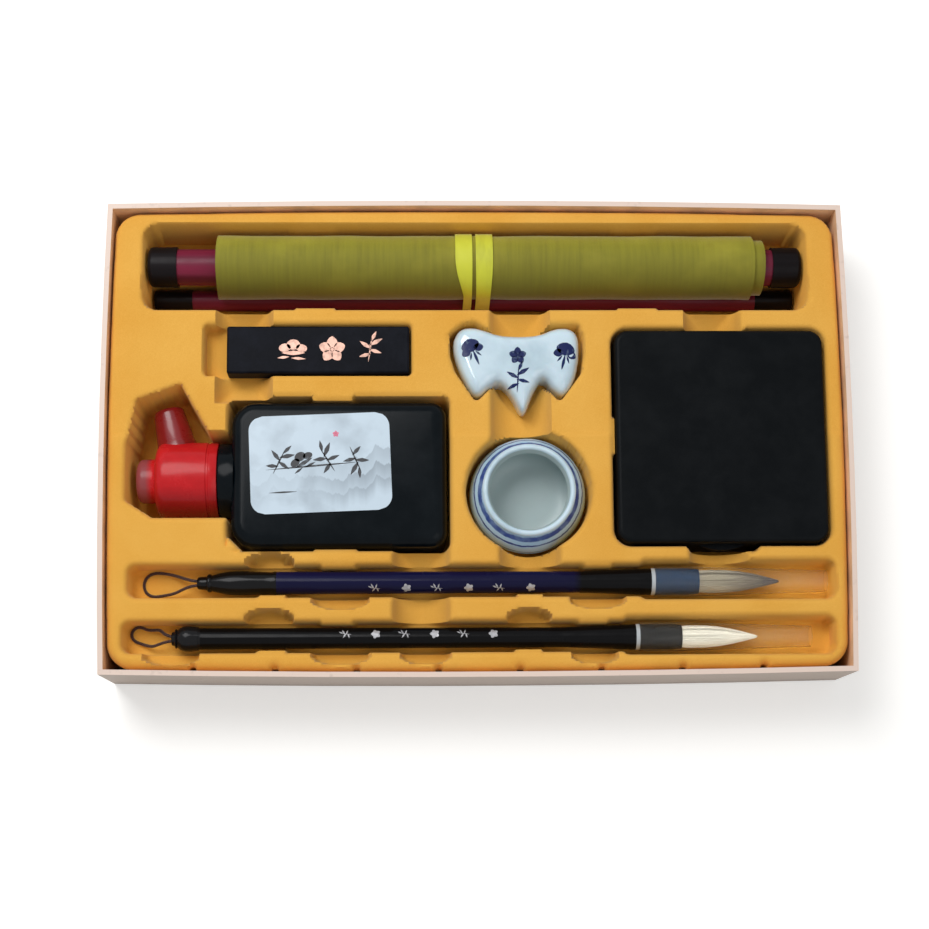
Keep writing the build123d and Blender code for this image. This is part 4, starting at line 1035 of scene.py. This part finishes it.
def case_pocket(x, y):
    return np.minimum(tabbed_boxes(x, y, CASE_POCKET), box_distance(x, y, *CASE_LUG_BAY))


# depth below the face, and distance outside the wall's foot
POCKETS = [(31.05, lambda x, y: tabbed_boxes(x, y, ROLL_POCKET)),
           (11.8, lambda x, y: box_distance(x, y, *STICK_POCKET)),
           (15.3, lambda x, y: polygon_distance(x, y, REST_RECESS) - 1.4),
           (30.3, cup_pocket),
           (38.2, lambda x, y: box_distance(x, y, *ROD_GROOVE)),
           (38.2, lambda x, y: box_distance(x, y, *RIBBON_RELIEF)),
           (38.3, bottle_pocket),
           (29.8, case_pocket),
           (14.8, lambda x, y: tabbed_boxes(x, y, *LARGE_POCKET)),
           (14.8, lambda x, y: tabbed_boxes(x, y, *SMALL_POCKET))]


class TrayForm:
    """One face of the sheet: the upper one, or the under one, grown and lowered by its thickness."""

    def __init__(self, look, top, grow):
        self.top = top
        self.grow = grow
        self.draft = look.draft / MM
        self.lip = 1.1 if grow else look.edge_round / MM
        self.foot = look.floor_round / MM
        self.outer = look.outer_round / MM

    def walls(self, x, y):
        """Distance outside the nearest upright wall."""
        return np.minimum.reduce([distance(x, y) for depth, distance in POCKETS]) - self.grow

    def outline(self, x, y):
        """Distance outside the tray's bowed edge, fluted along the front."""
        half_x, half_y = TRAY_HALF
        side_x = half_x + TRAY_BOW * (1 - np.clip(y / half_y, -1, 1) ** 2)
        side_y = half_y + TRAY_BOW * (1 - np.clip(x / half_x, -1, 1) ** 2)
        edge = corner_distance(np.abs(x) - side_x, np.abs(y) - side_y, TRAY_CORNER)
        near = np.clip(np.round(np.abs(x) / FLUTE_PITCH - 0.5), 0, 3) * FLUTE_PITCH + FLUTE_PITCH / 2
        flute = np.where(y < 0, np.hypot(np.abs(x) - near, np.abs(y) - side_y), 2 * FLUTE_RADIUS)
        return without(edge, flute - FLUTE_RADIUS) + self.grow

    def surface(self, x, y):
        """Height of the face."""
        drop = np.zeros(x.shape)
        for depth, distance in POCKETS:
            pocket = rounded_drop(distance(x, y) - self.grow, depth, self.draft, self.lip, self.foot)
            drop = deeper(drop, pocket, 1.6)
        for place, rear, front, radius in TROUGHS:
            apart = np.maximum(np.abs(x - place) - radius, np.maximum(y - rear - 3, front - 3 - y))
            drop = deeper(drop, trough_drop(apart - self.grow, radius + self.grow, self.lip), 2.4)
        for place, edge, half in NOTCHES:
            across, deep = (x - place) / half, (y - edge) / NOTCH_HALF_WIDTH
            ring = np.hypot(across, deep) + 1e-6
            slope = np.hypot(across / half, deep / NOTCH_HALF_WIDTH) / ring + 1e-6
            bowl = rounded_drop((ring - 1) / slope - self.grow, NOTCH_DEPTH, 0.5, 1.3, 3.0)
            drop = deeper(drop, bowl, 2.4)
        drop = np.maximum(drop, arc_drop(self.outer + self.outline(x, y), self.outer))
        return self.top - self.grow - drop


class SETBOX_OT_tray(bpy.types.Operator):
    """Formed tray: pressed pockets, finger troughs and notches, and a fluted skirt"""
    bl_idname = "setbox.tray"
    bl_label = "Tray"

    def execute(self, context):
        look = context.scene.setbox_tray
        foot, top = low("insert_tray", 2), high("insert_tray", 2)
        faces = []
        for grow, coarser in ((0.0, 1.0), (look.sheet / MM, 2.4)):
            form = TrayForm(look, top, grow)
            face = pressed_sheet(183.0, 117.8, coarser * look.pitch / MM, form.outline, form.surface,
                                 form.walls, form.draft)
            edge_down(face, foot)
            faces.append(face)
        tray = joined(faces, "tray")
        bridge_edges(tray)
        face_out(tray)
        done(tray, "flocked_tray", "insert", "flocked_sheet", flocking(look), 50, ["insert_tray"])
        return {"FINISHED"}


# ---------------------------------------------------------------- hanging scroll
class SETBOX_OT_scroll(bpy.types.Operator):
    """Rolled hanging scroll with its rods, caps and tie ribbon"""
    bl_idname = "setbox.scroll"
    bl_label = "Scroll"

    def execute(self, context):
        look = context.scene.setbox_scroll
        axis_y, axis_z = middle("roller_rod", 1), middle("roller_rod", 2)
        self.roll(look, axis_y, axis_z)
        self.ribbons(look, axis_y, axis_z)
        coat(lacquer("plum_lacquer", look.rod, look.rod_shade, 90, coat=0.05, shine=0.14),
             "roller_rod", "hanger_rod")
        coat(lacquer("black_lacquer", look.cap, scaled(look.cap, 1.8, 0.004)),
             "roller_cap_left", "roller_cap_right", "hanger_cap_left", "hanger_cap_right")
        return {"FINISHED"}

    def roll(self, look, axis_y, axis_z):
        """Waved and creased outer turns over inner turns that have slipped to the right."""
        left, right = low("scroll_sheet", 0), high("scroll_sheet", 0)
        outer = half_width("scroll_sheet")
        pitch = look.turn_pitch / MM
        turns = (outer - half_width("roller_rod") - 0.25) / pitch
        outer_turns, slip = 2.6, 5.6
        contact = math.radians(180 + 57)

        def wrap(turn, along):
            angle = contact - 2 * math.pi * turn
            waves = 0.10 * np.sin(along * 31 + 2.2 * angle) + 0.08 * np.sin(along * 53 - 1.1 * angle + 1.7)
            crease = (0.3 * np.exp(-((along - 0.515) / 0.008) ** 2)
                      - 0.12 * np.exp(-((along - 0.556) / 0.03) ** 2))
            radius = outer - 0.22 - pitch * turn + np.where(turn < 2, waves - 0.16 - crease, 0)
            slipped = np.clip((turn - 3.4) / 0.7, 0, 1)
            start = left + 0.5 * np.clip(turn, 0, 1.2) + 0.12 * np.sin(angle * 3)
            end = right - slip + slip * slipped ** 1.5 - 0.25 * np.cos(angle * 2)
            place = start + along * (end - start)
            return place, axis_y + radius * np.cos(angle), axis_z + radius * np.sin(angle)

        roll = joined([wound(190, 44, lambda share, along: wrap(share * outer_turns, along)),
                       wound(700, 1, lambda share, along: wrap(
                           outer_turns + share * (turns - outer_turns), along))], "scroll_roll")
        face_out(roll, WELD)
        modify(roll, "SOLIDIFY", thickness=look.silk_thickness, offset=0.0)
        silk = mounting_silk(look, metres(0, axis_y, axis_z))
        done(roll, "scroll_roll", "scroll", "scroll_silk", silk, 40, ["scroll_sheet"])

    def ribbons(self, look, axis_y, axis_z):
        """Two turns of ribbon round the roll and the hanger rod."""
        rod_y, rod_z = middle("hanger_rod", 1), middle("hanger_rod", 2)
        rod, roll = half_width("hanger_rod") + 0.3, half_width("scroll_sheet") + 0.25
        rise = math.atan2(rod_z - axis_z, rod_y - axis_y)
        lean = math.acos((roll - rod) / math.hypot(rod_y - axis_y, rod_z - axis_z))
        path = [(axis_y + roll * math.cos(a), axis_z + roll * math.sin(a))
                for a in np.linspace(rise - lean, rise + lean - 2 * math.pi, 72)]
        path += [(rod_y + rod * math.cos(a), rod_z + rod * math.sin(a))
                 for a in np.linspace(rise + lean, rise - lean, 20)]
        path = np.array([*path, path[0]])
        steps = np.concatenate(([0], np.cumsum(np.hypot(*np.diff(path, axis=0).T))))
        material = ribbon_weave(look)
        for node, narrow, drift in (("ribbon_left", 0.5, 2.1), ("ribbon_right", 0.85, -0.3)):
            centre, width = middle(node, 0), high(node, 0) - low(node, 0)

            def place(across, along):
                length = (along % 1.0) * steps[-1]
                line_y = np.interp(length, steps, path[:, 0])
                line_z = np.interp(length, steps, path[:, 1])
                front = np.clip((axis_y - line_y) / 16, 0, 1) ** 2
                span = width * 0.97 * (1 - (1 - narrow) * front)
                x = centre + np.clip((across - 0.5) * span + drift * front, -width / 2, width / 2)
                return x, line_y, line_z + 0.06 * np.sin(across * 9 + along * 40)

            band = wound(8, 110, place)
            face_out(band, WELD)
            modify(band, "SOLIDIFY", thickness=0.34 * MM, offset=0.0)
            done(band, f"tie_{node}", "scroll", "tie_ribbon", material, 50, [node])


# ---------------------------------------------------------------- ink stick and inkstone
class SETBOX_OT_ink(bpy.types.Operator):
    """Ink stick with gilded ornaments, and the inkstone in its black case"""
    bl_idname = "setbox.ink"
    bl_label = "Ink stick and inkstone"

    def execute(self, context):
        look = context.scene.setbox_ink
        coat(pressed_ink(look), "ink_stick")
        middle_x, middle_y, top = middle("ink_stick", 0), middle("ink_stick", 1), high("ink_stick", 2)
        shapes = []
        for away, figure, scale in ((-12.5, CLOUD, 1.75), (6.9, BLOSSOM, 1.75), (25.6, SPRIG, 1.45)):
            shapes += drawing(figure, scale, (middle_x + away, middle_y))
        ornaments = laid_on(shapes, lambda x, y: (x, y, np.full(x.shape, top - 0.02)), 0.16)
        gold = gilding("ink_gilding", look.gilding)
        done(ornaments, "ink_ornaments", "ink_stick", "ink_stick", gold, 30)
        coat(gloss_plastic("case_plastic", look.case, (0.35, 0.45), 0.0, 0.06, 0.05),
             "inkstone_case", "inkstone_lid")
        coat(slate(look), "inkstone_slab")
        return {"FINISHED"}


# ---------------------------------------------------------------- porcelain
def rounded_corners(corners):
    """A closed outline with each corner cut at a quarter of its sides."""
    return [(near * x1 + (1 - near) * x2, near * y1 + (1 - near) * y2)
            for (x1, y1), (x2, y2) in zip(corners, [*corners[1:], corners[0]]) for near in (0.75, 0.25)]


class SETBOX_OT_rest(bpy.types.Operator):
    """Brush rest: a soft-edged porcelain mountain with blue brushwork"""
    bl_idname = "setbox.rest"
    bl_label = "Brush rest"

    def execute(self, context):
        look = context.scene.setbox_porcelain
        half_x, half_y = REST_HALF
        centre_x, centre_y = REST_PLACE[0], REST_PLACE[1] - half_y / 2
        top, foot, side = high("brush_rest", 2), 1.6, 5.5
        corners = [(half_x * x, half_y * y + half_y / 2) for x, y in REST_SHAPE]
        corners = rounded_corners(rounded_corners(corners))

        def outline(x, y):
            return polygon_distance(x, y, corners) + 0.25

        def crown(x, y):
            """Height of the soft upper face."""
            share = np.clip(1 + outline(x, y) / (side + 1.5), 0, 1)
            return top - (side + 0.8) * (1 - np.sqrt(1 - share ** 2.4))

        piece = pressed_sheet(34.0, 23.0, 0.8, outline, crown)
        edge_down(piece, low("brush_rest", 2) + foot)
        bpy.ops.object.mode_set(mode="EDIT")
        bpy.ops.mesh.extrude_edges_move(TRANSFORM_OT_translate={"value": (0, 0, -foot * MM)})
        bpy.ops.transform.resize(value=(0.965, 0.95, 1), center_override=(0, 0, 0))
        bpy.ops.mesh.edge_face_add()
        leave_edit()
        piece.location = metres(centre_x, centre_y, 0)
        set_places(piece)
        face_out(piece)
        modify(piece, "SMOOTH", factor=0.5, iterations=4)
        glaze, colour = glazed(look)
        done(piece, "porcelain_rest", "brush_rest", "porcelain", glaze.colour(colour).material, 60,
             ["brush_rest"])

        shapes = []
        for x, y, figure, scale, turn in ((-21.5, 7.5, PLUM_TREE, 2.1, 24), (23.5, 5.5, PLUM_TREE, 2.1, -12),
                                          (0.5, 5.5, BLOSSOM, 1.15, 0), (0.5, -6.5, SPRIG, 1.45, 4)):
            shapes += drawing(figure, scale, (centre_x + x, centre_y + y), turn)
        strokes = laid_on(shapes, lambda x, y: (x, y, crown(x - centre_x, y - centre_y) + 0.02), 0.1,
                          fine=True)
        blue = Finish("cobalt_brushwork", Roughness=0.25, Specular_IOR_Level=0.2)
        pale = [c * 0.5 + g * 0.5 for c, g in zip(look.cobalt[:3], look.glaze_pool[:3])] + [1.0]
        blue.colour(blue.blend(blue.spread(blue.noise(520, 4), 0.55, 0.95), look.cobalt, pale))
        done(strokes, "rest_brushwork", "brush_rest", "porcelain", blue.material, 40)
        return {"FINISHED"}


def arc_circle(start, through, end):
    """Middle and radius of the circle through three (height, radius) points."""
    (ax, ay), (bx, by), (cx, cy) = start, through, end
    a, b, c = ax ** 2 + ay ** 2, bx ** 2 + by ** 2, cx ** 2 + cy ** 2
    twice = 2 * (ax * (by - cy) + bx * (cy - ay) + cx * (ay - by))
    up = (a * (by - cy) + b * (cy - ay) + c * (ay - by)) / twice
    out = (a * (cx - bx) + b * (ax - cx) + c * (bx - ax)) / twice
    return up, out, math.hypot(ax - up, ay - out)


def arc_stations(start, through, end, steps):
    """Stations on the circle arc through three (height, radius) points."""
    up, out, radius = arc_circle(start, through, end)
    first, last = (math.atan2(y - out, x - up) for x, y in (start, end))
    return [(up + radius * math.cos(a), out + radius * math.sin(a))
            for a in np.linspace(first, last, steps)]


class SETBOX_OT_cup(bpy.types.Operator):
    """Water cup with blue rings round its lip and shoulder"""
    bl_idname = "setbox.cup"
    bl_label = "Water cup"

    def execute(self, context):
        look = context.scene.setbox_porcelain
        place = middle("water_cup", 0), middle("water_cup", 1), low("water_cup", 2)
        height, belly, foot, neck, lip, mouth, wall = 32.0, 28.8, 19.0, 22.0, 23.0, 20.2, 3.0
        belly_up, shoulder = 0.45 * height, 0.86 * height
        inner_foot = foot - wall
        under = [(1.6, inner_foot - 1.5), (1.5, inner_foot), (0.3, inner_foot + 0.3),
                 (0.0, inner_foot + 0.9), (0.0, foot - 0.8)]
        outer_arc = ((0.4, foot), (belly_up, belly), (shoulder, neck))
        rim = [(shoulder + 1.0, neck - 0.15), (shoulder + 2.2, neck + 0.1), (height - 1.6, lip - 0.1),
               (height - 1.1, lip - 0.15), (height - 0.35, lip - 0.8), (height, lip - 1.6),
               (height - 0.3, mouth + 0.3), (height - 1.2, mouth - 0.1), (shoulder + 1.2, neck - wall + 0.3)]
        inner_arc = ((shoulder, neck - wall), (belly_up, belly - wall), (4.8, inner_foot))
        stations = [*under, *arc_stations(*outer_arc, 22), *rim, *arc_stations(*inner_arc, 18),
                    (4.6, 12.0), (4.6, 4.0)]
        rings = [metres(*ring) for ring in ((25.9, 0.7), (22.6, 0.35), (17.0, 0.25), (8.0, 0.3))]
        glaze = ringed_glaze(look, metres(*place), rings, metres(*arc_circle(*outer_arc)),
                             wall * MM, neck * MM)
        done(turned("Z", place, stations, 96), "porcelain_cup", "water_cup", "porcelain", glaze, 50,
             ["water_cup"])
        return {"FINISHED"}


# ---------------------------------------------------------------- ink bottle
BOTTLE_LENGTH, BOTTLE_WIDTH, BOTTLE_THICKNESS, BOTTLE_ROUND = 105.0, 72.4, 39.0, 6.0
LABEL_LENGTH, LABEL_HEIGHT, LABEL_CORNER, LABEL_TILT = 68.6, 48.6, 7.0, 2.2
# the neck with its two threads, as (place from the bottle's end, radius)
NECK = [(1.0, 18.4), (-5.8, 18.7), (-6.5, 18.4), (-6.8, 17.6), (-6.8, 15.2), (-9.2, 15.0), (-9.6, 15.6),
        (-11.0, 15.6), (-11.4, 15.0), (-15.0, 15.0), (-15.4, 15.6), (-16.8, 15.6), (-17.2, 15.0),
        (-20.8, 14.8), (-20.8, 12.0), (-6, 12.0)]


class SETBOX_OT_bottle(bpy.types.Operator):
    """Ink bottle with its neck, label and plug"""
    bl_idname = "setbox.bottle"
    bl_label = "Ink bottle"

    def execute(self, context):
        look = context.scene.setbox_bottle
        right, y, z = high("bottle_body", 0), middle("bottle_body", 1), middle("bottle_body", 2)
        left = right - BOTTLE_LENGTH
        clear_selection()
        bpy.ops.mesh.primitive_cube_add(size=1, location=metres(left + BOTTLE_LENGTH / 2, y, z))
        body = bpy.context.object
        body.dimensions = metres(BOTTLE_LENGTH, BOTTLE_WIDTH, BOTTLE_THICKNESS)
        set_places(body)
        for end, radius, segments in ((left, 12.0, 9), (right, 7.5, 7)):
            self.round_edges(body, radius, segments, lambda first, second: (
                abs(first.z - second.z) > MM and abs(first.x / MM - end) < 0.01))
        self.round_edges(body, BOTTLE_ROUND, 7, lambda first, second: abs(first.z - second.z) < MM / 10)
        neck = turned("X", (0, y, z), [(left + place, radius) for place, radius in NECK], 72)
        bottle = joined([body, neck], "ink_bottle")
        face_out(bottle)
        plastic = gloss_plastic("bottle_plastic", look.plastic, (0.16, 0.26), 0.01, 0.07)
        done(bottle, "ink_bottle", "bottle", "bottle_plastic", plastic, 40, ["bottle_body"])
        coat(gloss_plastic("plug_plastic", look.plug, (0.3, 0.4), 0.1), "bottle_plug")
        self.label(look, y, z + BOTTLE_THICKNESS / 2)
        return {"FINISHED"}

    @staticmethod
    def round_edges(piece, radius, segments, chosen):
        """Rounds the edges whose two ends are the chosen ones."""
        edit(piece, "EDGE")
        bpy.ops.mesh.select_all(action="DESELECT")
        leave_edit()
        for line in piece.data.edges:
            line.select = chosen(*(piece.data.vertices[i].co for i in line.vertices))
        bpy.ops.object.mode_set(mode="EDIT")
        bpy.ops.mesh.bevel(offset=radius * MM, segments=segments, profile=0.5, affect="EDGES")
        leave_edit()

    @staticmethod
    def label(look, bottle_y, top):
        """The label's paper, and the brushwork and blossom printed on it."""
        x, y = middle("bottle_label", 0), middle("bottle_label", 1)
        tilt = math.radians(LABEL_TILT)

        def on_bottle(across, deep, lift):
            """Places on the bottle's upper face and long edges."""
            over = np.abs(deep - bottle_y) - (BOTTLE_WIDTH / 2 - BOTTLE_ROUND)
            return across, deep, top - arc_drop(over, BOTTLE_ROUND) + lift

        def place(across, deep):
            flat_x, flat_y = (across - 0.5) * LABEL_LENGTH, (deep - 0.5) * LABEL_HEIGHT
            over_x = np.clip(np.abs(flat_x) - LABEL_LENGTH / 2 + LABEL_CORNER, 0, LABEL_CORNER)
            over_y = np.clip(np.abs(flat_y) - LABEL_HEIGHT / 2 + LABEL_CORNER, 0, LABEL_CORNER)
            shrink = over_x * (1 - np.sqrt(np.maximum(1 - (over_y / LABEL_CORNER) ** 2 * 0.999, 0)))
            flat_x = flat_x - np.sign(flat_x) * shrink
            turned_x, turned_y = spun(flat_x, flat_y, tilt)
            return on_bottle(x + turned_x, y + turned_y, 0.03)

        paper = wound(60, 44, place)
        thicken(paper, 0.12)
        washed = washed_label(look, metres(x, y, top), -tilt)
        done(paper, "bottle_label_paper", "bottle", "label_paper", washed, 40, ["bottle_label"])
        strokes = []
        for away, deep, figure, scale, turn in ((-20, 0.6, SPRIG, 1.5, -20), (-9.0, 1.2, CLOUD, 1.5, 30),
                                                (3.5, 1.6, SPRIG, 1.55, 38), (17, 2.2, SPRIG, 1.5, -150)):
            strokes += drawing(figure, scale, (x + away, y + deep), turn + LABEL_TILT)
        strokes += [leaf(x - 4, y - 1.5, 46, 0.9, 5, 0.6), leaf(x - 18, y - 14.5, 14, 0.9, 3, 0.8)]
        ink = Finish("label_brushwork", Roughness=0.5)
        ink.colour(ink.blend(ink.spread(ink.noise(420, 4), 0.6, 0.95), look.brushwork, look.wash))
        pink = Finish("label_blossom", Roughness=0.5)
        pink.colour(pink.blend(pink.spread(pink.noise(900, 3), 0.4, 0.7), look.blossom,
                               scaled(look.blossom, 0.75)))
        for shapes, finish in ((strokes, ink), (drawing(BLOSSOM, 0.42, (x + 7.5, y + 14.5)), pink)):
            printed = laid_on(shapes, lambda across, deep: on_bottle(across, deep, 0.17), 0.03)
            done(printed, finish.material.name, "bottle", "label_paper", finish.material, 40)


def round_end(end, radius, corner, first, steps):
    """Stations of a rounded corner that meets a flat end."""
    return [(end + corner * (1 - math.sin(a)), radius - corner * (1 - math.cos(a)))
            for a in np.linspace(first, math.pi / 2, steps)]


class SETBOX_OT_cap(bpy.types.Operator):
    """Red cap with its knob, seam and side spout"""
    bl_idname = "setbox.cap"
    bl_label = "Cap"

    def execute(self, context):
        look = context.scene.setbox_bottle
        right, y, z = high("cap_body", 0), middle("cap_body", 1), middle("cap_body", 2)
        left, radius, knob = right - 30.6, 19.3, 11.0
        skirt = [(-14.0, 15.35), (0, 15.35), (0, 18.6), (-0.5, 19.0), (-4.0, 19.1), (-4.3, 18.7),
                 (-5.1, 18.7), (-5.4, 19.2), (-13.0, radius)]
        stations = [*((right + place, out) for place, out in skirt), *round_end(left, radius, 5.0, 0, 8),
                    (left - 0.2, knob + 0.8), (left - 0.9, knob + 0.1), (left - 2.0, knob),
                    (left - 6.3, knob - 0.1), *round_end(left - 9.8, knob, 3.5, 0.2, 7),
                    (left - 9.8, 4.0), (left - 9.6, 1.5)]
        # painted shade darker towards the cap's front, and a painted highlight on the knob
        red = gloss_plastic("cap_plastic", look.cap, (0.2, 0.32), 0.05, 0.16, shaded=(
            (1, y - 17, y - 6, look.cap_shade), (0, left - 5, left - 2, look.knob)))
        done(turned("X", (0, y, z), stations, 96), "red_cap", "bottle_cap", "cap_plastic", red, 40,
             ["cap_body"])

        spout = turned("Z", (0, 0, 0), [
            (14.0, 10.1), (18.6, 9.9), (19.6, 9.4), (30.0, 8.2), (34.4, 7.7), (35.8, 7.5), (36.7, 6.9),
            (37.0, 6.0), (37.0, 4.2), (34.0, 3.8), (33.5, 2.0)])
        lean = math.radians(14.0)
        cos, sin = math.cos(lean), math.sin(lean)
        turn = np.array(((cos, sin, 0), (0, 0, 1), (-sin, cos, 0)))
        write_points(spout, read_points(spout) @ turn + metres(left + 13.5, y, z))
        face_out(spout)
        # painted shade: the spout is drawn in the cap's shaded red
        spout_shade_red = gloss_plastic("spout_plastic", look.cap_shade, (0.2, 0.32), 0.15, 0.35)
        done(spout, "cap_side_spout", "bottle_cap", "cap_plastic", spout_shade_red, 40, ["cap_spout"])
        return {"FINISHED"}


# ---------------------------------------------------------------- brushes
SHAFT_RADIUS = {"large_brush": 5.6, "small_brush": 5.2}
SHAFT_TAPER, WAIST_LENGTH = 0.06, 36.0
# the tail's form, as shares of its length and of its widest radius
TAIL = [(0.0, 0.42), (0.012, 0.49), (0.04, 0.53), (0.09, 0.55), (0.12, 0.58), (0.13, 0.72), (0.15, 0.76),
        (0.17, 0.74), (0.185, 0.66), (0.22, 0.72), (0.3, 0.86), (0.4, 0.96), (0.52, 1.0), (0.62, 0.995),
        (0.74, 0.96), (0.84, 0.93), (0.93, 0.91)]
# the tuft's form, as shares of its length and of its radius
TUFT_PLACES = np.array([0.0, 0.16, 0.34, 0.52, 0.7, 0.86, 1.0])
TUFT_WIDTHS = np.array([0.93, 1.0, 0.98, 0.86, 0.62, 0.33, 0.06])
STRANDS = 420
GOLDEN_TURN = 2.39996


class SETBOX_OT_brushes(bpy.types.Operator):
    """Two brushes: turned tails, lacquered shafts, ferrules, hair and clear sleeves"""
    bl_idname = "setbox.brushes"
    bl_label = "Brushes"

    def execute(self, context):
        look = context.scene.setbox_brushes
        silver = gilding("silver_print", look.silver, 0.2)
        black = lacquer("tail_lacquer", look.black, scaled(look.black, 2.5, 0.002), 70, (0.12, 0.22),
                        0.05, 0.12)
        ring = gloss_plastic("white_ring", look.ring, (0.3, 0.42), 0.1)
        sleeve = clear_plastic(look)
        navy_end = high("large_brush_shaft", 0) - 38.0
        no_navy = -300.0
        for brush, navy_until, ferrule, root, tip, slot, row in (
                ("large_brush", navy_end, look.horn_blue, look.grey_hair, look.dark_hair, "grey_hair",
                 (-50.2, 15.1, -3.6)),
                ("small_brush", no_navy, look.horn_grey, look.white_hair, look.white_hair, "white_hair",
                 (-64.2, 14.2, 1.5))):
            y, z = middle(f"{brush}_shaft", 1), middle(f"{brush}_shaft", 2)
            self.tail(brush, y, z, black)
            coat(shaft_lacquer(look, navy_until), f"{brush}_shaft")
            coat(ring, f"{brush}_ring")
            coat(lacquer(f"{brush}_horn", ferrule, scaled(ferrule, 0.6), 120, (0.25, 0.36), shine=0.08),
                 f"{brush}_ferrule")
            coat(sleeve, f"{brush}_sleeve")
            self.hair(brush, y, z, root, tip, slot)
            self.marks(brush, y, z, *row, silver)
        return {"FINISHED"}

    @staticmethod
    def tail(brush, y, z, material):
        node = f"{brush}_tail"
        start, end, widest, meets = low(node, 0), high(node, 0), half_width(node), SHAFT_RADIUS[brush]
        stations = [(start + 3.8, 1.4), (start + 0.3, 1.9),
                    *((start + (end - start) * along, widest * out) for along, out in TAIL),
                    (end - 0.9, meets + 0.1), (end, meets)]
        done(turned("X", (0, y, z), stations, 48), f"{brush}_finial", brush, "black_lacquer", material, 50,
             [node])

    @staticmethod
    def hair(brush, y, z, root, tip, slot):
        """Tapered strands in a spiral, each a little shorter, thicker or more waved than the next."""
        node = f"{brush}_hair"
        start, end = high(f"{brush}_ferrule", 0), high(node, 0)
        radius = half_width(node) * 0.97
        clear_selection()
        bpy.ops.mesh.primitive_cylinder_add(vertices=4, radius=1.0, depth=1.0, end_fill_type="NGON",
                                            rotation=(0, math.pi / 2, 0))
        strand = bpy.context.object
        set_places(strand)
        edit(strand)
        for cut in TUFT_PLACES[1:-1]:
            bpy.ops.mesh.select_all(action="SELECT")
            bpy.ops.mesh.bisect(plane_co=(cut - 0.5, 0, 0), plane_no=(1, 0, 0))
        leave_edit()
        length, across, up = read_points(strand).T
        along = length + 0.5
        chance = random.Random(7)
        strands = []
        for i in range(STRANDS):
            away = math.sqrt((i + 0.5) / STRANDS)
            turn = i * GOLDEN_TURN + chance.uniform(-0.2, 0.2)
            reach = 1.0 - 0.07 * chance.random() - 0.10 * (1 - away)
            thick = 0.30 * chance.uniform(0.8, 1.15)
            phase, sway = chance.uniform(0, 6.3), chance.uniform(0.0, 0.22)
            place = along * reach
            out = np.interp(place, TUFT_PLACES, TUFT_WIDTHS) * radius * away
            wave = sway * np.sin(place * 5 + phase) * place
            slim = thick * np.interp(along, [0, 0.6, 1.0], [1.0, 0.9, 0.35])
            copy = strand
            if strands:
                copy = strand.copy()
                copy.data = strand.data.copy()
                bpy.context.scene.collection.objects.link(copy)
            strands.append(copy)
            write_points(copy, MM * np.column_stack((
                start - 0.8 + place * (end - start + 0.8),
                y + out * math.cos(turn) + wave + across * slim,
                z + out * math.sin(turn) + 0.6 * wave + up * slim)))
        tuft = joined(strands, f"{brush}_tuft")
        finish = brush_hair(f"{brush}_hair_strands", root, tip, start * MM, end * MM, metres(0, y, z))
        done(tuft, f"{brush}_tuft", brush, slot, finish, 60, [node])

    @staticmethod
    def marks(brush, y, z, first, apart, aside, material):
        """Silver ornaments in a row along the top of the shaft."""
        start, waist = low(f"{brush}_shaft", 0), high(f"{brush}_shaft", 0) - WAIST_LENGTH
        shapes = []
        for i in range(6):
            figure, scale = ((SPRIG, 0.56), (BLOSSOM, 0.62))[i % 2]
            shapes += drawing(figure, scale, (first + i * apart, aside), 90)

        def round_shaft(along, across):
            radius = SHAFT_RADIUS[brush] * (1 - SHAFT_TAPER * (along - start) / (waist - start))
            turn = across / radius
            return along, y + (radius + 0.03) * np.sin(turn), z + (radius + 0.03) * np.cos(turn)

        done(laid_on(shapes, round_shaft, 0.03, fine=True), f"{brush}_marks", brush, "navy_lacquer",
             material, 0)


# ---------------------------------------------------------------- panel and run
PIECES = (SETBOX_OT_stage, SETBOX_OT_loops, SETBOX_OT_box, SETBOX_OT_tray, SETBOX_OT_scroll, SETBOX_OT_ink,
          SETBOX_OT_rest, SETBOX_OT_cup, SETBOX_OT_bottle, SETBOX_OT_cap, SETBOX_OT_brushes)
LOOKS = {"setbox_stage": StageLook, "setbox_box": BoxLook, "setbox_tray": TrayLook,
         "setbox_scroll": ScrollLook, "setbox_ink": InkLook, "setbox_porcelain": PorcelainLook,
         "setbox_bottle": BottleLook, "setbox_brushes": BrushLook}


class SETBOX_PT_pieces(bpy.types.Panel):
    """Lists the pieces in the order they are made"""
    bl_label = "Set box"
    bl_idname = "SETBOX_PT_pieces"
    bl_space_type = "VIEW_3D"
    bl_region_type = "UI"
    bl_category = "Set box"

    def draw(self, context):
        for piece in PIECES:
            self.layout.operator(piece.bl_idname)
        for look in LOOKS:
            group = getattr(context.scene, look)
            for setting in group.__annotations__:
                self.layout.prop(group, setting)


def register():
    for kind in (*LOOKS.values(), *PIECES, SETBOX_PT_pieces):
        bpy.utils.register_class(kind)
    for name, kind in LOOKS.items():
        setattr(bpy.types.Scene, name, PointerProperty(type=kind))


def unregister():
    for name in LOOKS:
        delattr(bpy.types.Scene, name)
    for kind in reversed((*LOOKS.values(), *PIECES, SETBOX_PT_pieces)):
        bpy.utils.unregister_class(kind)


def main():
    register()
    for piece in PIECES:
        group, name = piece.bl_idname.split(".")
        getattr(getattr(bpy.ops, group), name)()


if __name__ == "__main__":
    main()
